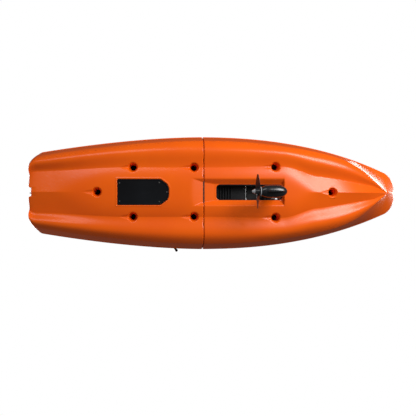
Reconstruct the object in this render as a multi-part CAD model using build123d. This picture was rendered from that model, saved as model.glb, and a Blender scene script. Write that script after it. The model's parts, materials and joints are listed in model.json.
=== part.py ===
"""Two-module sit-on-top pedal kayak, in millimetres.

The bow and stern modules are hollow moulded shells that meet at x = 0. +X points to the bow, +Y to port, +Z up.
The origin lies on the keel line at the seam between the modules. A pedal drive stands in a well through the bow
module, with its propeller under the hull, and a rudder rests folded over the stern deck.
"""
from build123d import *
from math import atan2, cos, degrees, hypot, pi, radians, sin
import os

# ---------------------------------------------------------------- hull shape
BOW_LENGTH = 1590
STERN_LENGTH = 1315
BEAM = 900
GUNWALE_HEIGHT = 300      # gunwale above the keel at the seam
BOW_SHEER = 68.7            # extra gunwale height at the bow end
SHEER_START = 905
BOW_TAPER = 315           # loss of half beam from the seam to the bow end
STERN_TAPER = 136
FLARE = 55                # gunwale stands this much outside the chine
CHINE_HEIGHT = 66
TUNNEL_Y = 187            # valley of each tunnel at the seam
TUNNEL_SPREAD = 7
RIM_HEIGHT = 26           # upright band under the gunwale
WALL = 5
SEAM_GAP = 8
DECK_TRIM = 4             # the loft is made this much too high, then trimmed to the deck line
STEM_HEIGHT = 318         # keel height at the bow end
STEM_START = 800
STERN_ROCKER = 22
ROCKER_START = 900
BOW_CORNER = 90
STERN_CORNER = 75
NOTCH_WIDTH = 72
NOTCH_DEPTH = 20
CHINE_FADE_START = 900
CHINE_FADE_END = 1500
MIN_CHINE = 9

# ---------------------------------------------------------------- deck layout
GUNWALE_WIDTH = 105       # deck left outside a footwell
SEAT_MARGIN = 150         # deck left outside the seat well
TANK_MARGIN = 168         # deck left outside the tank well
STERN_DECK = 145
TANK_FRONT = -490
TANK_FLOOR = 185
SEAT_BACK = -440
SEAT_FLOOR = 165
FOOT_END = 850
FOOT_FLOOR = 150
CONSOLE_HALF = 112
CONSOLE_TOP = 240
BOW_WELL_START = 905
BOW_WELL_MARGIN = 110
BOW_DECK = 260
BOW_WELL_FLOOR = 215
POCKET_CORNER = 28

# ---------------------------------------------------------------- scuppers
SCUPPER_BORE = 21
SCUPPER_MOUTH = 34
SCUPPER_CONE = 62
STERN_SCUPPER_X = -804
MID_SCUPPER_X = -537
SEAT_SCUPPER_X = -75
FOOT_SCUPPER_X = 549
BOW_SCUPPER_X = 990
PLUG_FLANGE = 30
PLUG_FLANGE_THICK = 5
PLUG_LENGTH = 46
PLUG_CLEARANCE = 0.3

# ---------------------------------------------------------------- drive well
WELL_AFT = 95
WELL_FRONT = 606
WELL_HALF = 60
TROUGH_AFT = -94
TROUGH_FRONT = 613
TROUGH_HALF = 106
TROUGH_DEPTH = 36
TROUGH_RAMP = 175         # length of the sloping aft end
TROUGH_MARGIN = 3         # ledge between the trough's floor and the well

# ---------------------------------------------------------------- bay and its cover
BAY_AFT = -652
BAY_LENGTH = 388
BAY_WIDTH = 198
BAY_NOSE = 62             # length of the chamfered forward end
BAY_LEDGE = 12
BAY_POCKET_DEPTH = 50
COVER_THICK = 10
COVER_CLEARANCE = 1.5

# ---------------------------------------------------------------- drive unit
DRIVE_X = 520
PIVOT_Z = 268
CRANK_Z = 475
PROP_Z = -210
PROP_X = 379
PROP_RADIUS = 125
POD_RADIUS = 46
POD_AFT = 403
POD_FRONT = 594
LEG_CHORD = 90
LEG_THICK = 38
SHAFT_RADIUS = 8
SHAFT_BORE = 14
PROP_SHAFT_RADIUS = 7
PROP_SHAFT_BORE = 12
AXLE_RADIUS = 10
AXLE_BORE = 17
CASE_RADIUS = 78
CASE_HALF = 42
CASE_WALL = 8
CASE_FLAT = 75            # height of the flat on the case above the crank axis
TRUNNION_RADIUS = 9
BOSS_RADIUS = 24
BOSS_HALF = 43
RUNNING = 0.06            # radial running clearance of shafts and pins
CRANK_LENGTH = 150
PEDAL_IN = 62
PEDAL_OUT = 146
PEDAL_AXLE = 6
CRANK_TEETH = 40
PINION_TEETH = 10
LOWER_TEETH = 25
CRANK_PITCH = 60          # pitch radius
LOWER_PITCH = 30

# ---------------------------------------------------------------- fittings
SCREW_RADIUS = 2.5
SCREW_LENGTH = 14
SCREW_HEAD = 4.8
SCREW_HEAD_HEIGHT = 3.2
TRACK_START = 150
TRACK_LENGTH = 300
TRACK_WIDTH = 28
TRACK_HEIGHT = 12
TRACK_SUNK = 9
TRACK_INSET = 56          # centre of the track inboard of the gunwale at the track's bow end
ROD_X = -600
ROD_INSET = 84
ROD_BORE = 21
ROD_OUTER = 25
ROD_LENGTH = 165
ROD_TILT = 28
HATCH_OPENING = 76
BOW_HATCH_X = BOW_LENGTH - BOW_DECK - 128
STERN_HATCH_X = -648
DRAIN_RADIUS = 10
STERN_DRAIN = (-1230, -230)
BOW_DRAIN = (880, 150)
RECESS_FLOOR = 268        # floor of the recess under the stern grip
STERN_GRIP_X = -1215
SIDE_GRIP_X = 560
BOW_RECESS = (1385, 1490, 66)
BOW_RECESS_FLOOR = 332
LATCH_Y = 400
SEAT_PIVOT = (-400, 350)
SEAT_LEAN = 12
LEVER_PIVOT = (-265, 372)
LEVER_TIP = (-207, 463)
RUDDER_PIN_X = -1328
BLADE_PIVOT = (-1362, 398)

os.makedirs("parts", exist_ok=True)


def smooth(value, low, high):
    """0 below low, 1 above high, with a smooth step between them."""
    share = min(1.0, max(0.0, (value - low) / (high - low)))
    return share * share * (3 - 2 * share)


def gunwale_y(x):
    """Half beam at the gunwale."""
    if x < 0:
        return BEAM / 2 - STERN_TAPER * (-x / STERN_LENGTH) ** 1.7
    return BEAM / 2 - BOW_TAPER * (x / BOW_LENGTH) ** 2.25


def chine_y(x):
    """Half breadth at the chine, which closes on the keel near the bow."""
    fade = min(1.0, max(0.0, (x - CHINE_FADE_START) / (CHINE_FADE_END - CHINE_FADE_START))) ** 3.2
    return max(MIN_CHINE, (gunwale_y(x) - FLARE) * (1 - fade))


def gunwale_z(x):
    """Height of the gunwale, level except over the bow."""
    return GUNWALE_HEIGHT + BOW_SHEER * max(0.0, (x - SHEER_START) / (BOW_LENGTH - SHEER_START)) ** 2


def keel_z(x):
    """Height of the keel line."""
    if x > STEM_START:
        return STEM_HEIGHT * ((x - STEM_START) / (BOW_LENGTH - STEM_START)) ** 3.1
    if x < -ROCKER_START:
        return STERN_ROCKER * ((-x - ROCKER_START) / (STERN_LENGTH - ROCKER_START)) ** 2
    return 0.0


def tunnel_y(x):
    """Distance of each tunnel's valley from the centreline."""
    middle = TUNNEL_Y + TUNNEL_SPREAD * smooth(x, 0, 500) - 32 * smooth(-x, 560, 1300)
    ahead = middle - 74 * smooth(x, 600, 900) - 0.16 * max(0.0, x - 900)
    return max(0.3 * chine_y(x), min(ahead, 0.46 * chine_y(x) if x > 900 else ahead))


def bottom_z(x, y):
    """Height of the hull bottom: centre pad or V, tunnel valley, outer sponson, chine."""
    keel, chine, valley = keel_z(x), chine_y(x), tunnel_y(x)
    slim = min(1.0, chine / 200)
    vee = max(smooth(-x, 700, 1150), smooth(x, 640, 900))
    valley_rise = (24 + 14 * vee) * slim
    ridge = valley + 0.56 * (chine - valley)
    ridge_rise = (5 + 9 * smooth(x, 700, 1200)) * slim
    chine_rise = CHINE_HEIGHT * min(1.0, chine / 320) ** 0.8
    y = abs(y)
    if y < valley:
        return keel + valley_rise * (y / valley) ** (3 - 2 * vee)
    if y < ridge:
        return keel + valley_rise + (ridge_rise - valley_rise) * smooth(y, valley, ridge)
    return keel + ridge_rise + (chine_rise - ridge_rise) * ((y - ridge) / (chine - ridge)) ** 2.2


def section(x, inset=0.0):
    """One cross-section of the hull at x, drawn inset inside the outer skin. The outer one is left high for trimming."""
    gunwale, top = gunwale_y(x) - inset, gunwale_z(x) - (inset or -DECK_TRIM)
    chine = max(MIN_CHINE / 2, chine_y(x) - inset)
    shares = (0, 0.12, 0.26, 0.4, 0.5, 0.62, 0.74, 0.84, 0.93, 1)
    half = [(s * chine, bottom_z(x, s * chine) + inset) for s in shares]
    rim = gunwale_z(x) - inset - RIM_HEIGHT
    other = [(-y, z) for y, z in half]
    edges = [
        Spline(*half),
        Line(half[-1], (gunwale, rim)),
        Line((gunwale, rim), (gunwale, top)),
        Line((gunwale, top), (-gunwale, top)),
        Line((-gunwale, top), (-gunwale, rim)),
        Line((-gunwale, rim), other[-1]),
        Spline(*reversed(other)),
    ]
    return Plane(origin=(x, 0, 0), x_dir=(0, 1, 0), z_dir=(1, 0, 0)) * make_face(edges)


def box_between(low, high):
    """A box from its lowest to its highest corner."""
    size = [b - a for a, b in zip(low, high)]
    middle = [(a + b) / 2 for a, b in zip(low, high)]
    return Pos(*middle) * Box(*size)


def prism(points, low, high, grow=0.0, corner=0.0):
    """A plan outline extruded from low to high. It grows sideways and downwards by grow."""
    face = make_face(Polyline(*points, close=True))
    if grow:
        face = offset(face, amount=grow, kind=Kind.INTERSECTION)
    if corner:
        face = fillet(face.vertices(), corner)
    return Pos(0, 0, low - grow) * extrude(face, high - low + grow)


def rod(start, end, radius):
    """A round rod from start to end."""
    start, end = Vector(*start), Vector(*end)
    return Plane(origin=start, z_dir=end - start) * Cylinder(
        radius, (end - start).length, align=(Align.CENTER, Align.CENTER, Align.MIN))


def ring(centre, axis, outer, inner, length):
    """A round ring that runs length along axis from centre."""
    low = (Align.CENTER, Align.CENTER, Align.MIN)
    return Plane(origin=centre, z_dir=axis) * (
        Cylinder(outer, length, align=low) - Cylinder(inner, length, align=low))


def together(pieces):
    """Fuses pieces into one shape."""
    whole = pieces[0]
    for piece in pieces[1:]:
        whole = whole + piece
    return whole


def save(name, *pieces):
    """Writes one node, whose pieces stay separate solids."""
    solids = [solid for piece in pieces for solid in piece.solids()]
    export_step(Compound(children=solids) if len(solids) > 1 else solids[0], f"parts/{name}.step")


def both(make):
    """The same piece for port and starboard."""
    return [make(side) for side in (1, -1)]


# ---------------------------------------------------------------- pockets and holes of the two modules
STERN_STATIONS = (-STERN_LENGTH, -1180, -1040, -890, -730, -560, -380, -190, -SEAM_GAP / 2)
BOW_STATIONS = (SEAM_GAP / 2, 160, 320, 480, 640, 800, 930, 1050, 1160, 1260, 1350, 1430, 1510, BOW_LENGTH)
TANK_AFT = -STERN_LENGTH + STERN_DECK
BOW_WELL_END = BOW_LENGTH - BOW_DECK
SKY = GUNWALE_HEIGHT + 200
SCUPPERS = (
    (STERN_SCUPPER_X, 0, TANK_FLOOR),
    (MID_SCUPPER_X, tunnel_y(MID_SCUPPER_X), TANK_FLOOR),
    (MID_SCUPPER_X, -tunnel_y(MID_SCUPPER_X), TANK_FLOOR),
    (SEAT_SCUPPER_X, tunnel_y(SEAT_SCUPPER_X), SEAT_FLOOR),
    (SEAT_SCUPPER_X, -tunnel_y(SEAT_SCUPPER_X), SEAT_FLOOR),
    (FOOT_SCUPPER_X, tunnel_y(FOOT_SCUPPER_X), FOOT_FLOOR),
    (FOOT_SCUPPER_X, -tunnel_y(FOOT_SCUPPER_X), FOOT_FLOOR),
    (BOW_SCUPPER_X, 0, BOW_WELL_FLOOR),
)


def mirrored(points):
    """Closes a port-side outline with its starboard mirror image."""
    return list(points) + [(x, -y) for x, y in reversed(points)]


def tank_outline():
    stops = (TANK_AFT, (TANK_AFT + TANK_FRONT) / 2, TANK_FRONT)
    return mirrored([(x, gunwale_y(x) - TANK_MARGIN) for x in stops])


def seat_outline():
    return mirrored([(x, gunwale_y(x) - SEAT_MARGIN) for x in (SEAT_BACK, 0)])


def foot_outline(side):
    stops = (0, FOOT_END * 0.4, FOOT_END * 0.75, FOOT_END)
    outer = [(x, side * (gunwale_y(x) - GUNWALE_WIDTH)) for x in stops]
    return outer + [(FOOT_END, side * CONSOLE_HALF), (0, side * CONSOLE_HALF)]


def bow_well_outline():
    stops = (BOW_WELL_START, (BOW_WELL_START + BOW_WELL_END) / 2, BOW_WELL_END)
    return mirrored([(x, gunwale_y(x) - BOW_WELL_MARGIN) for x in stops])


def scupper(place, grow=0.0):
    """The drain hole from the hull bottom to the deck floor, with its flared mouth below."""
    x, y, floor = place
    mouth = bottom_z(x, y)
    low = (Align.CENTER, Align.CENTER, Align.MIN)
    bore = Pos(x, y, mouth - 30) * Cylinder(SCUPPER_BORE + grow, floor - mouth + 60, align=low)
    slope = (SCUPPER_MOUTH - SCUPPER_BORE) / SCUPPER_CONE
    cone = Cone(SCUPPER_MOUTH + 20 * slope + grow, SCUPPER_BORE + grow, SCUPPER_CONE + 20, align=low)
    return bore + Pos(x, y, mouth - 20) * cone


def trough(grow=0.0):
    """The sloping recess under the hull round the drive well. Its aft end is a long ramp."""
    under = 30
    share = under / TROUGH_DEPTH
    half_in = WELL_HALF + TROUGH_MARGIN
    aft_in = TROUGH_AFT + TROUGH_RAMP
    front_in = WELL_FRONT + TROUGH_MARGIN / 2
    top = [(aft_in, half_in), (front_in, half_in)]
    low = [(TROUGH_AFT - TROUGH_RAMP * share, TROUGH_HALF + (TROUGH_HALF - half_in) * share),
           (TROUGH_FRONT + (TROUGH_FRONT - front_in) * share, TROUGH_HALF + (TROUGH_HALF - half_in) * share)]
    faces = []
    for points, z in ((low, -under), (top, TROUGH_DEPTH)):
        (x0, y0), (x1, y1) = points
        outline = [(x0 - grow, y0 + grow), (x1 + grow, y1 + grow), (x1 + grow, -y1 - grow), (x0 - grow, -y0 - grow)]
        faces.append(Pos(0, 0, z + (grow if z > 0 else 0)) * make_face(Polyline(*outline, close=True)))
    return loft(faces, ruled=True)


def well(grow=0.0):
    return box_between((WELL_AFT - grow, -WELL_HALF - grow, -40), (WELL_FRONT + grow, WELL_HALF + grow, SKY))


def bay_outline(shrink=0.0):
    """Outline of the bay's ledge: square aft with cut corners, and a narrowed nose."""
    aft, front = BAY_AFT + shrink, BAY_AFT + BAY_LENGTH - shrink
    half = BAY_WIDTH / 2 - shrink
    nose = BAY_NOSE
    return mirrored([(aft, half - 16), (aft + 14, half), (front - nose, half), (front - nose * 0.2, half * 0.62),
                     (front, half * 0.3)])


def bay(grow=0.0):
    """The ledge for the cover and the deeper pocket behind it."""
    ledge = prism(bay_outline(-grow), -40, BAY_LEDGE + grow)
    inner = box_between((BAY_AFT + 34 - grow, -BAY_WIDTH / 2 + 30 - grow, 0),
                        (BAY_AFT + BAY_LENGTH - BAY_NOSE - 22 + grow, BAY_WIDTH / 2 - 30 + grow,
                         BAY_POCKET_DEPTH + grow))
    return ledge + inner


def plan(length_low, length_high, corner, at_bow):
    """A block whose plan trims the ends of the hull to round corners."""
    half = BEAM / 2 + 50
    x_end = length_high if at_bow else length_low
    end_half = gunwale_y(x_end)
    slope = (gunwale_y(x_end - 60) - end_half) / 60 if at_bow else (gunwale_y(x_end + 60) - end_half) / 60
    run = 400
    inner = x_end - run if at_bow else x_end + run
    far = length_low if at_bow else length_high
    outline = [(x_end, end_half), (inner, end_half + slope * run * 1.6), (inner, half), (far, half)]
    face = make_face(Polyline(*mirrored(outline), close=True))
    ends = [v for v in face.vertices() if abs(v.X - x_end) < 1e-6]
    face = fillet(ends, corner)
    return Pos(0, 0, -50) * extrude(face, SKY + 100)


def above_deck():
    """All that is above the deck line, as a cutter."""
    line = [(-STERN_LENGTH - 20, GUNWALE_HEIGHT), (SHEER_START, GUNWALE_HEIGHT)]
    line += [(x, gunwale_z(x)) for x in range(SHEER_START + 40, int(BOW_LENGTH) + 30, 40)]
    face = make_face(Polyline(*line, (line[-1][0], SKY), (line[0][0], SKY), close=True))
    return extrude(Plane(origin=(0, 0, 0), x_dir=(1, 0, 0), z_dir=(0, -1, 0)) * face, BEAM, both=True)


def notch():
    """The upright groove in the middle of the transom that clears the rudder."""
    points = [(-STERN_LENGTH - 30, NOTCH_WIDTH / 2 + 12), (-STERN_LENGTH, NOTCH_WIDTH / 2 + 8),
              (-STERN_LENGTH + NOTCH_DEPTH, NOTCH_WIDTH / 2 - 8)]
    return prism(mirrored(points), -50, SKY)




# ---------------------------------------------------------------- fittings let into the hull
track_y = gunwale_y(TRACK_START + TRACK_LENGTH) - TRACK_INSET
rod_y = gunwale_y(ROD_X) - ROD_INSET
rod_way = (-sin(radians(ROD_TILT)), 0, cos(radians(ROD_TILT)))
side_grip_y = gunwale_y(SIDE_GRIP_X) - GUNWALE_WIDTH / 2
DECK = GUNWALE_HEIGHT
UP = (0, 0, 1)
track_base = DECK - TRACK_SUNK
cover_low = BAY_LEDGE - COVER_THICK
flange_z = CONSOLE_TOP
cheek_out = WELL_HALF
latch_plate = DECK + 6
transom_plate_x = -STERN_LENGTH + NOTCH_DEPTH - 8

SCREWS = [((x, s * track_y, track_base + 3), UP) for s in (1, -1) for x in (175, 258, 342, 425)]
SCREWS += [((x, y, flange_z + 6), UP) for x in (86, 614) for y in (-40, 40)]
SCREWS += [((x, s * 68, flange_z + 6), UP) for s in (1, -1) for x in (150, 300, 440)]
SCREWS += [((ROD_X + dx, s * rod_y + dy, DECK + 6), UP) for s in (1, -1) for dx, dy in ((34, 0), (-2, 33), (-2, -33))]
SCREWS += [((16, s * LATCH_Y + dy, latch_plate), UP) for s in (1, -1) for dy in (-14, 14)]
SCREWS += [((-20, s * LATCH_Y + dy, DECK + 4), UP) for s in (1, -1) for dy in (-9, 9)]
SCREWS += [((BAY_AFT + dx, y, cover_low + SCREW_HEAD_HEIGHT), (0, 0, -1))
           for dx, y in ((18, 68), (18, -68), (315, 72), (315, -72), (372, 0))]
SCREWS += [((transom_plate_x, y, 271), (-1, 0, 0)) for y in (-17, 17)]


def screw(place, extra=0.0):
    """A pan-head screw whose head sits on place; extra widens it into a cutter."""
    base, way = place
    base, way = Vector(*base), Vector(*way)
    shank = rod(tuple(base + way * 0.01), tuple(base - way * SCREW_LENGTH), SCREW_RADIUS)
    return shank + rod(tuple(base), tuple(base + way * (SCREW_HEAD_HEIGHT + 20 * extra)), SCREW_HEAD + extra)


def screw_holes(low_x, high_x):
    """Shank holes of the screws that fall between two stations."""
    return [rod(tuple(Vector(*b)), tuple(Vector(*b) - Vector(*w) * SCREW_LENGTH), SCREW_RADIUS)
            for b, w in SCREWS if low_x < b[0] < high_x]


def near_screws(piece):
    """Cuts the screws' shanks and head pockets out of a fitting."""
    box = piece.bounding_box()
    for base, way in SCREWS:
        if all(lo - 9 <= c <= hi + 9 for lo, c, hi in zip(tuple(box.min), base, tuple(box.max))):
            piece = piece - screw((base, way), 0.2 if way[2] < 0 else 0.0)
    return piece


def track_slot(side, grow=0.0):
    low = (TRACK_START - 2 - grow, side * track_y - TRACK_WIDTH / 2 - 1.5 - grow, track_base - grow)
    high = (TRACK_START + TRACK_LENGTH + 2 + grow, side * track_y + TRACK_WIDTH / 2 + 1.5 + grow, SKY)
    return box_between(low, high)


def rod_line(side, above, below, radius):
    """A rod on the rod holder's slanted axis."""
    top, way = Vector(ROD_X, side * rod_y, DECK), Vector(*rod_way)
    return rod(tuple(top + way * above), tuple(top - way * below), radius)


def stern_recess(grow=0.0):
    return box_between((STERN_GRIP_X - 32 - grow, -80 - grow, RECESS_FLOOR - grow),
                       (STERN_GRIP_X + 32 + grow, 80 + grow, SKY))


def bow_recess(grow=0.0):
    aft, front, half = BOW_RECESS
    return box_between((aft - grow, -half - grow, BOW_RECESS_FLOOR - grow), (front + grow, half + grow, SKY))


def hatch_hole(x, floor):
    return rod((x, 0, floor - 3 * WALL), (x, 0, floor + 20), HATCH_OPENING)


def drain_hole(place):
    return rod((place[0], place[1], DECK - 30), (place[0], place[1], SKY), DRAIN_RADIUS)


def module(stations, at_bow):
    """One hollow module: the lofted shell, less its cavity, its pockets and its through holes."""
    if at_bow:
        pockets = [
            lambda g: prism(foot_outline(1), FOOT_FLOOR, SKY, g, POCKET_CORNER * 0.6),
            lambda g: prism(foot_outline(-1), FOOT_FLOOR, SKY, g, POCKET_CORNER * 0.6),
            lambda g: box_between((-20, -CONSOLE_HALF - 20, CONSOLE_TOP - g), (FOOT_END + g, CONSOLE_HALF + 20, SKY)),
            lambda g: box_between((-20, 20, FOOT_FLOOR - g), (60, gunwale_y(60) - GUNWALE_WIDTH + g, SKY)),
            lambda g: box_between((-20, -gunwale_y(60) + GUNWALE_WIDTH - g, FOOT_FLOOR - g), (60, -20, SKY)),
            lambda g: prism(bow_well_outline(), BOW_WELL_FLOOR, SKY, g, POCKET_CORNER),
            lambda g: track_slot(1, g),
            lambda g: track_slot(-1, g),
            well,
            bow_recess,
        ]
        holes = [hatch_hole(BOW_HATCH_X, BOW_WELL_FLOOR), drain_hole(BOW_DRAIN)]
        low, high, corner = SEAM_GAP / 2, BOW_LENGTH, BOW_CORNER
        inner_stations = [stations[0] + WALL] + list(stations[1:-2])
    else:
        pockets = [
            lambda g: prism(tank_outline(), TANK_FLOOR, SKY, g, POCKET_CORNER),
            lambda g: prism(seat_outline(), SEAT_FLOOR, SKY, g, POCKET_CORNER),
            lambda g: box_between((-90, -gunwale_y(0) + SEAT_MARGIN - g, SEAT_FLOOR - g),
                                  (20, gunwale_y(0) - SEAT_MARGIN + g, SKY)),
            bay,
            stern_recess,
        ]
        holes = [rod_line(1, 60, 100, ROD_OUTER + 1), rod_line(-1, 60, 100, ROD_OUTER + 1), notch(),
                 hatch_hole(STERN_HATCH_X, TANK_FLOOR), drain_hole(STERN_DRAIN)]
        low, high, corner = -STERN_LENGTH, -SEAM_GAP / 2, STERN_CORNER
        inner_stations = [stations[0] + WALL + NOTCH_DEPTH] + list(stations[1:-1]) + [stations[-1] - WALL]
    outer = loft([section(x) for x in stations])
    whole = outer & plan(low - (1 if at_bow else 0), high + (0 if at_bow else 1), corner, at_bow)
    cavity = loft([section(x, WALL) for x in inner_stations])
    cutters = [trough] + pockets
    cutters += [lambda g, p=p: scupper(p, g) for p in SCUPPERS if (p[0] > 0) == at_bow]
    for cutter in cutters:
        cavity = cavity - cutter(WALL)
        whole = whole - cutter(0.0)
    whole = whole - max(cavity.solids(), key=lambda s: s.volume)
    whole = whole - above_deck()
    for hole in holes + screw_holes(low, high):
        whole = whole - hole
    return max(whole.solids(), key=lambda s: s.volume)


def gasket():
    """Foam gasket between the modules, a U set back from the skin."""
    whole = extrude(section(-SEAM_GAP / 2, 14), SEAM_GAP) - extrude(section(-SEAM_GAP / 2, 32), SEAM_GAP)
    whole = whole - trough(3) - box_between((-20, -gunwale_y(0) + GUNWALE_WIDTH - 3, 150), (20, gunwale_y(0)
                                            - GUNWALE_WIDTH + 3, SKY)) - box_between((-20, -BEAM, 262), (20, BEAM, SKY))
    return max(whole.solids(), key=lambda s: s.volume)


def plug(place):
    """A rubber plug pushed into a scupper from the deck."""
    x, y, floor = place
    body = rod((x, y, floor - PLUG_LENGTH), (x, y, floor + 1), SCUPPER_BORE - PLUG_CLEARANCE)
    flange = rod((x, y, floor), (x, y, floor + PLUG_FLANGE_THICK), PLUG_FLANGE)
    dish = Pos(x, y, floor - PLUG_LENGTH) * Cone(15, 11, 8, align=(Align.CENTER, Align.CENTER, Align.MIN))
    return body + flange - dish


def bay_cover():
    face = make_face(Polyline(*bay_outline(COVER_CLEARANCE), close=True))
    slab = Pos(0, 0, cover_low) * extrude(face, COVER_THICK - 0.01)
    slab = fillet(slab.edges().filter_by(Axis.Z), 6)
    return near_screws(chamfer(slab.faces().sort_by(Axis.Z)[0].edges(), 1.5))


def hatch_rim(x, floor):
    flange = ring((x, 0, floor), UP, 100, 70, 5)
    return flange + ring((x, 0, floor - 20), UP, HATCH_OPENING - 0.5, 70, 21)


def hatch_lid(x, floor):
    top = rod((x, 0, floor + 5), (x, 0, floor + 13), 92)
    top = fillet(top.edges().sort_by(Axis.Z)[-1], 4)
    skirt = ring((x, 0, floor - 8), UP, 69.6, 62, 13.5)
    bar = fillet(box_between((x - 55, -9, floor + 12), (x + 55, 9, floor + 24)).edges().filter_by(Axis.Z), 7)
    return top + skirt + bar


def drain_plug(place):
    x, y = place
    head = rod((x, y, DECK), (x, y, DECK + 8), 16)
    return head + rod((x, y, DECK - 14), (x, y, DECK + 1), DRAIN_RADIUS - 0.1)


def grip(centre, along):
    """A fixed carrying grip: two feet and a round bar, along X or Y."""
    feet = [box_between((s * 56 - 12, -12, 0), (s * 56 + 12, 12, 22)) for s in (1, -1)]
    bar = rod((-62, 0, 26), (62, 0, 26), 9)
    whole = together(feet + [bar])
    turn = 0 if along == "x" else 90
    return Pos(*centre) * Rot(0, 0, turn) * whole


def gear_track(side):
    y = side * track_y
    x0, x1 = TRACK_START, TRACK_START + TRACK_LENGTH
    body = box_between((x0, y - TRACK_WIDTH / 2, track_base), (x1, y + TRACK_WIDTH / 2, track_base + TRACK_HEIGHT))
    body = body - box_between((x0 - 1, y - 9.5, track_base + 3), (x1 + 1, y + 9.5, track_base + 9))
    body = body - box_between((x0 - 1, y - 5.2, track_base + 8), (x1 + 1, y + 5.2, track_base + 20))
    return near_screws(body)


def rod_holder(side):
    flange = rod((ROD_X, side * rod_y, DECK), (ROD_X, side * rod_y, DECK + 6), 44)
    tube = rod_line(side, 40, ROD_LENGTH, ROD_OUTER)
    tube = tube - box_between((ROD_X - 200, side * rod_y - 60, DECK + 6), (ROD_X + 200, side * rod_y + 60, SKY))
    return near_screws(flange + tube) - rod_line(side, 60, ROD_LENGTH - 5, ROD_BORE)


def latch_base(side):
    y = side * LATCH_Y
    plate = box_between((8, y - 20, DECK), (62, y + 20, latch_plate))
    ears = [box_between((30, y + s * 15.5 - 3, DECK), (50, y + s * 15.5 + 3, DECK + 26)) for s in (1, -1)]
    return near_screws(together([plate] + ears)) - rod((40, y - 30, DECK + 16), (40, y + 30, DECK + 16), 4)


def latch_keeper(side):
    y = side * LATCH_Y
    plate = box_between((-50, y - 15, DECK), (-10, y + 15, DECK + 4))
    return near_screws(plate + box_between((-50, y - 15, DECK), (-44, y + 15, DECK + 12)))


def latch_lever(side):
    y = side * LATCH_Y
    arm = box_between((-62, y - 11, DECK + 13), (40, y + 11, DECK + 21))
    claw = box_between((-62, y - 11, DECK + 5), (-52, y + 11, DECK + 14))
    hub = rod((40, y - 11, DECK + 16), (40, y + 11, DECK + 16), 9.4)
    tab = box_between((-84, y - 9, DECK + 15), (-60, y + 9, DECK + 21))
    pin = rod((40, y - 18, DECK + 16), (40, y + 18, DECK + 16), 4 - RUNNING)
    return together([arm, claw, hub, tab, pin])


def bow_bracket(side):
    low = (1458, side * 50 - 6, BOW_RECESS_FLOOR)
    body = box_between(low, (1478, side * 50 + 6, BOW_RECESS_FLOOR + 19))
    return body - rod((1468, side * 50 - 9, BOW_RECESS_FLOOR + 11), (1468, side * 50 + 9, BOW_RECESS_FLOOR + 11), 4)


def bow_handle():
    z = BOW_RECESS_FLOOR + 11
    pins = [rod((1468, s * 36, z), (1468, s * 56, z), 4 - RUNNING) for s in (1, -1)]
    arms = [box_between((1408, s * 38 - 5, z - 5), (1473, s * 38 + 5, z + 5)) for s in (1, -1)]
    return together([rod((1408, -44, z), (1408, 44, z), 9)] + arms + pins)


# ---------------------------------------------------------------- bungees over the tank well
HOOK_X = (-1120, -830, -540)


def hook_y(x):
    return gunwale_y(x) - TANK_MARGIN + 30


def bungee_path(side, radius):
    z = DECK + 6 if side > 0 else DECK + 12.6
    (a, b, c) = HOOK_X
    points = [(a, side * hook_y(a), z), (b, -side * hook_y(b), z), (c, side * hook_y(c), z)]
    path = FilletPolyline(*points, radius=12)
    return sweep(Plane(origin=path @ 0, z_dir=path % 0) * Circle(radius), path=path)


def bungee_hooks():
    """Six moulded eyes that hold the two cords."""
    cutters = [bungee_path(1, 3.3), bungee_path(-1, 3.3)]
    hooks = []
    for x in HOOK_X:
        for side in (1, -1):
            y = side * (hook_y(x) + 2)
            hook = fillet(box_between((x - 15, y - 13, DECK), (x + 15, y + 13, DECK + 19)).edges().filter_by(Axis.Z), 6)
            hooks.append(hook - cutters[0] - cutters[1])
    return hooks


# ---------------------------------------------------------------- drive unit
def centre_rod(x, z, low, high, radius):
    """A rod along Y at x and z."""
    return rod((x, low, z), (x, high, z), radius)


def cradle():
    """The black liner of the well: walls, a ribbed ceiling aft, a deck flange and two pivot cheeks."""
    gap, wall = 1.5, 4
    aft, front, half = WELL_AFT + gap, WELL_FRONT - gap, WELL_HALF - gap
    low = TROUGH_DEPTH + 1
    body = box_between((aft, -half, low), (front, half, flange_z + 3))
    body = body + box_between((76, -78, flange_z), (624, 78, flange_z + 6))
    body = body - box_between((aft + wall, -half + wall, low - 9), (front - wall, half - wall, SKY))
    body = body + box_between((aft + 1, -half + 1, 116), (330, half - 1, 122))
    for k in range(6):
        x = 108 + 21 * k
        body = body + box_between((x, -half + 1, 102), (x + 6, half - 1, 117))
    for side in (1, -1):
        y_in, y_out = side * 45, side * half
        cheek = box_between((DRIVE_X - 34, min(y_in, y_out), low + 40),
                            (DRIVE_X + 34, max(y_in, y_out), PIVOT_Z + 34))
        body = body + fillet(cheek.edges().filter_by(Axis.Y).sort_by(Axis.Z)[-2:], 20)
    body = body - centre_rod(DRIVE_X, PIVOT_Z, -80, 80, TRUNNION_RADIUS + RUNNING)
    return near_screws(body)


def pod_shape():
    profile = [(POD_AFT, 0), (POD_AFT, 29)]
    curve = Spline((POD_AFT, 29), (430, 43), (482, POD_RADIUS), (538, 44), (577, 30), (POD_FRONT, 0),
                   tangents=((1, 0.7), (0, -1)))
    face = make_face([Line(*profile), curve, Line((POD_FRONT, 0), (POD_AFT, 0))])
    face = Plane(origin=(0, 0, PROP_Z), x_dir=(1, 0, 0), z_dir=(0, -1, 0)) * face
    return revolve(face, axis=Axis((0, 0, PROP_Z), (1, 0, 0)), revolution_arc=360)


HOUSING_SCREWS = [(dx, z) for dx in (-31, 31) for z in (355, 165, 20, -110)]
CASE_SCREWS = [(CASE_RADIUS - 4.2, a) for a in (20, 65, 115, 160)]


def housing_screw(dx, z):
    x = DRIVE_X + dx
    return centre_rod(x, z, -9, 10.01, SCREW_RADIUS) + centre_rod(x, z, 10, 15, SCREW_HEAD)


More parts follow.
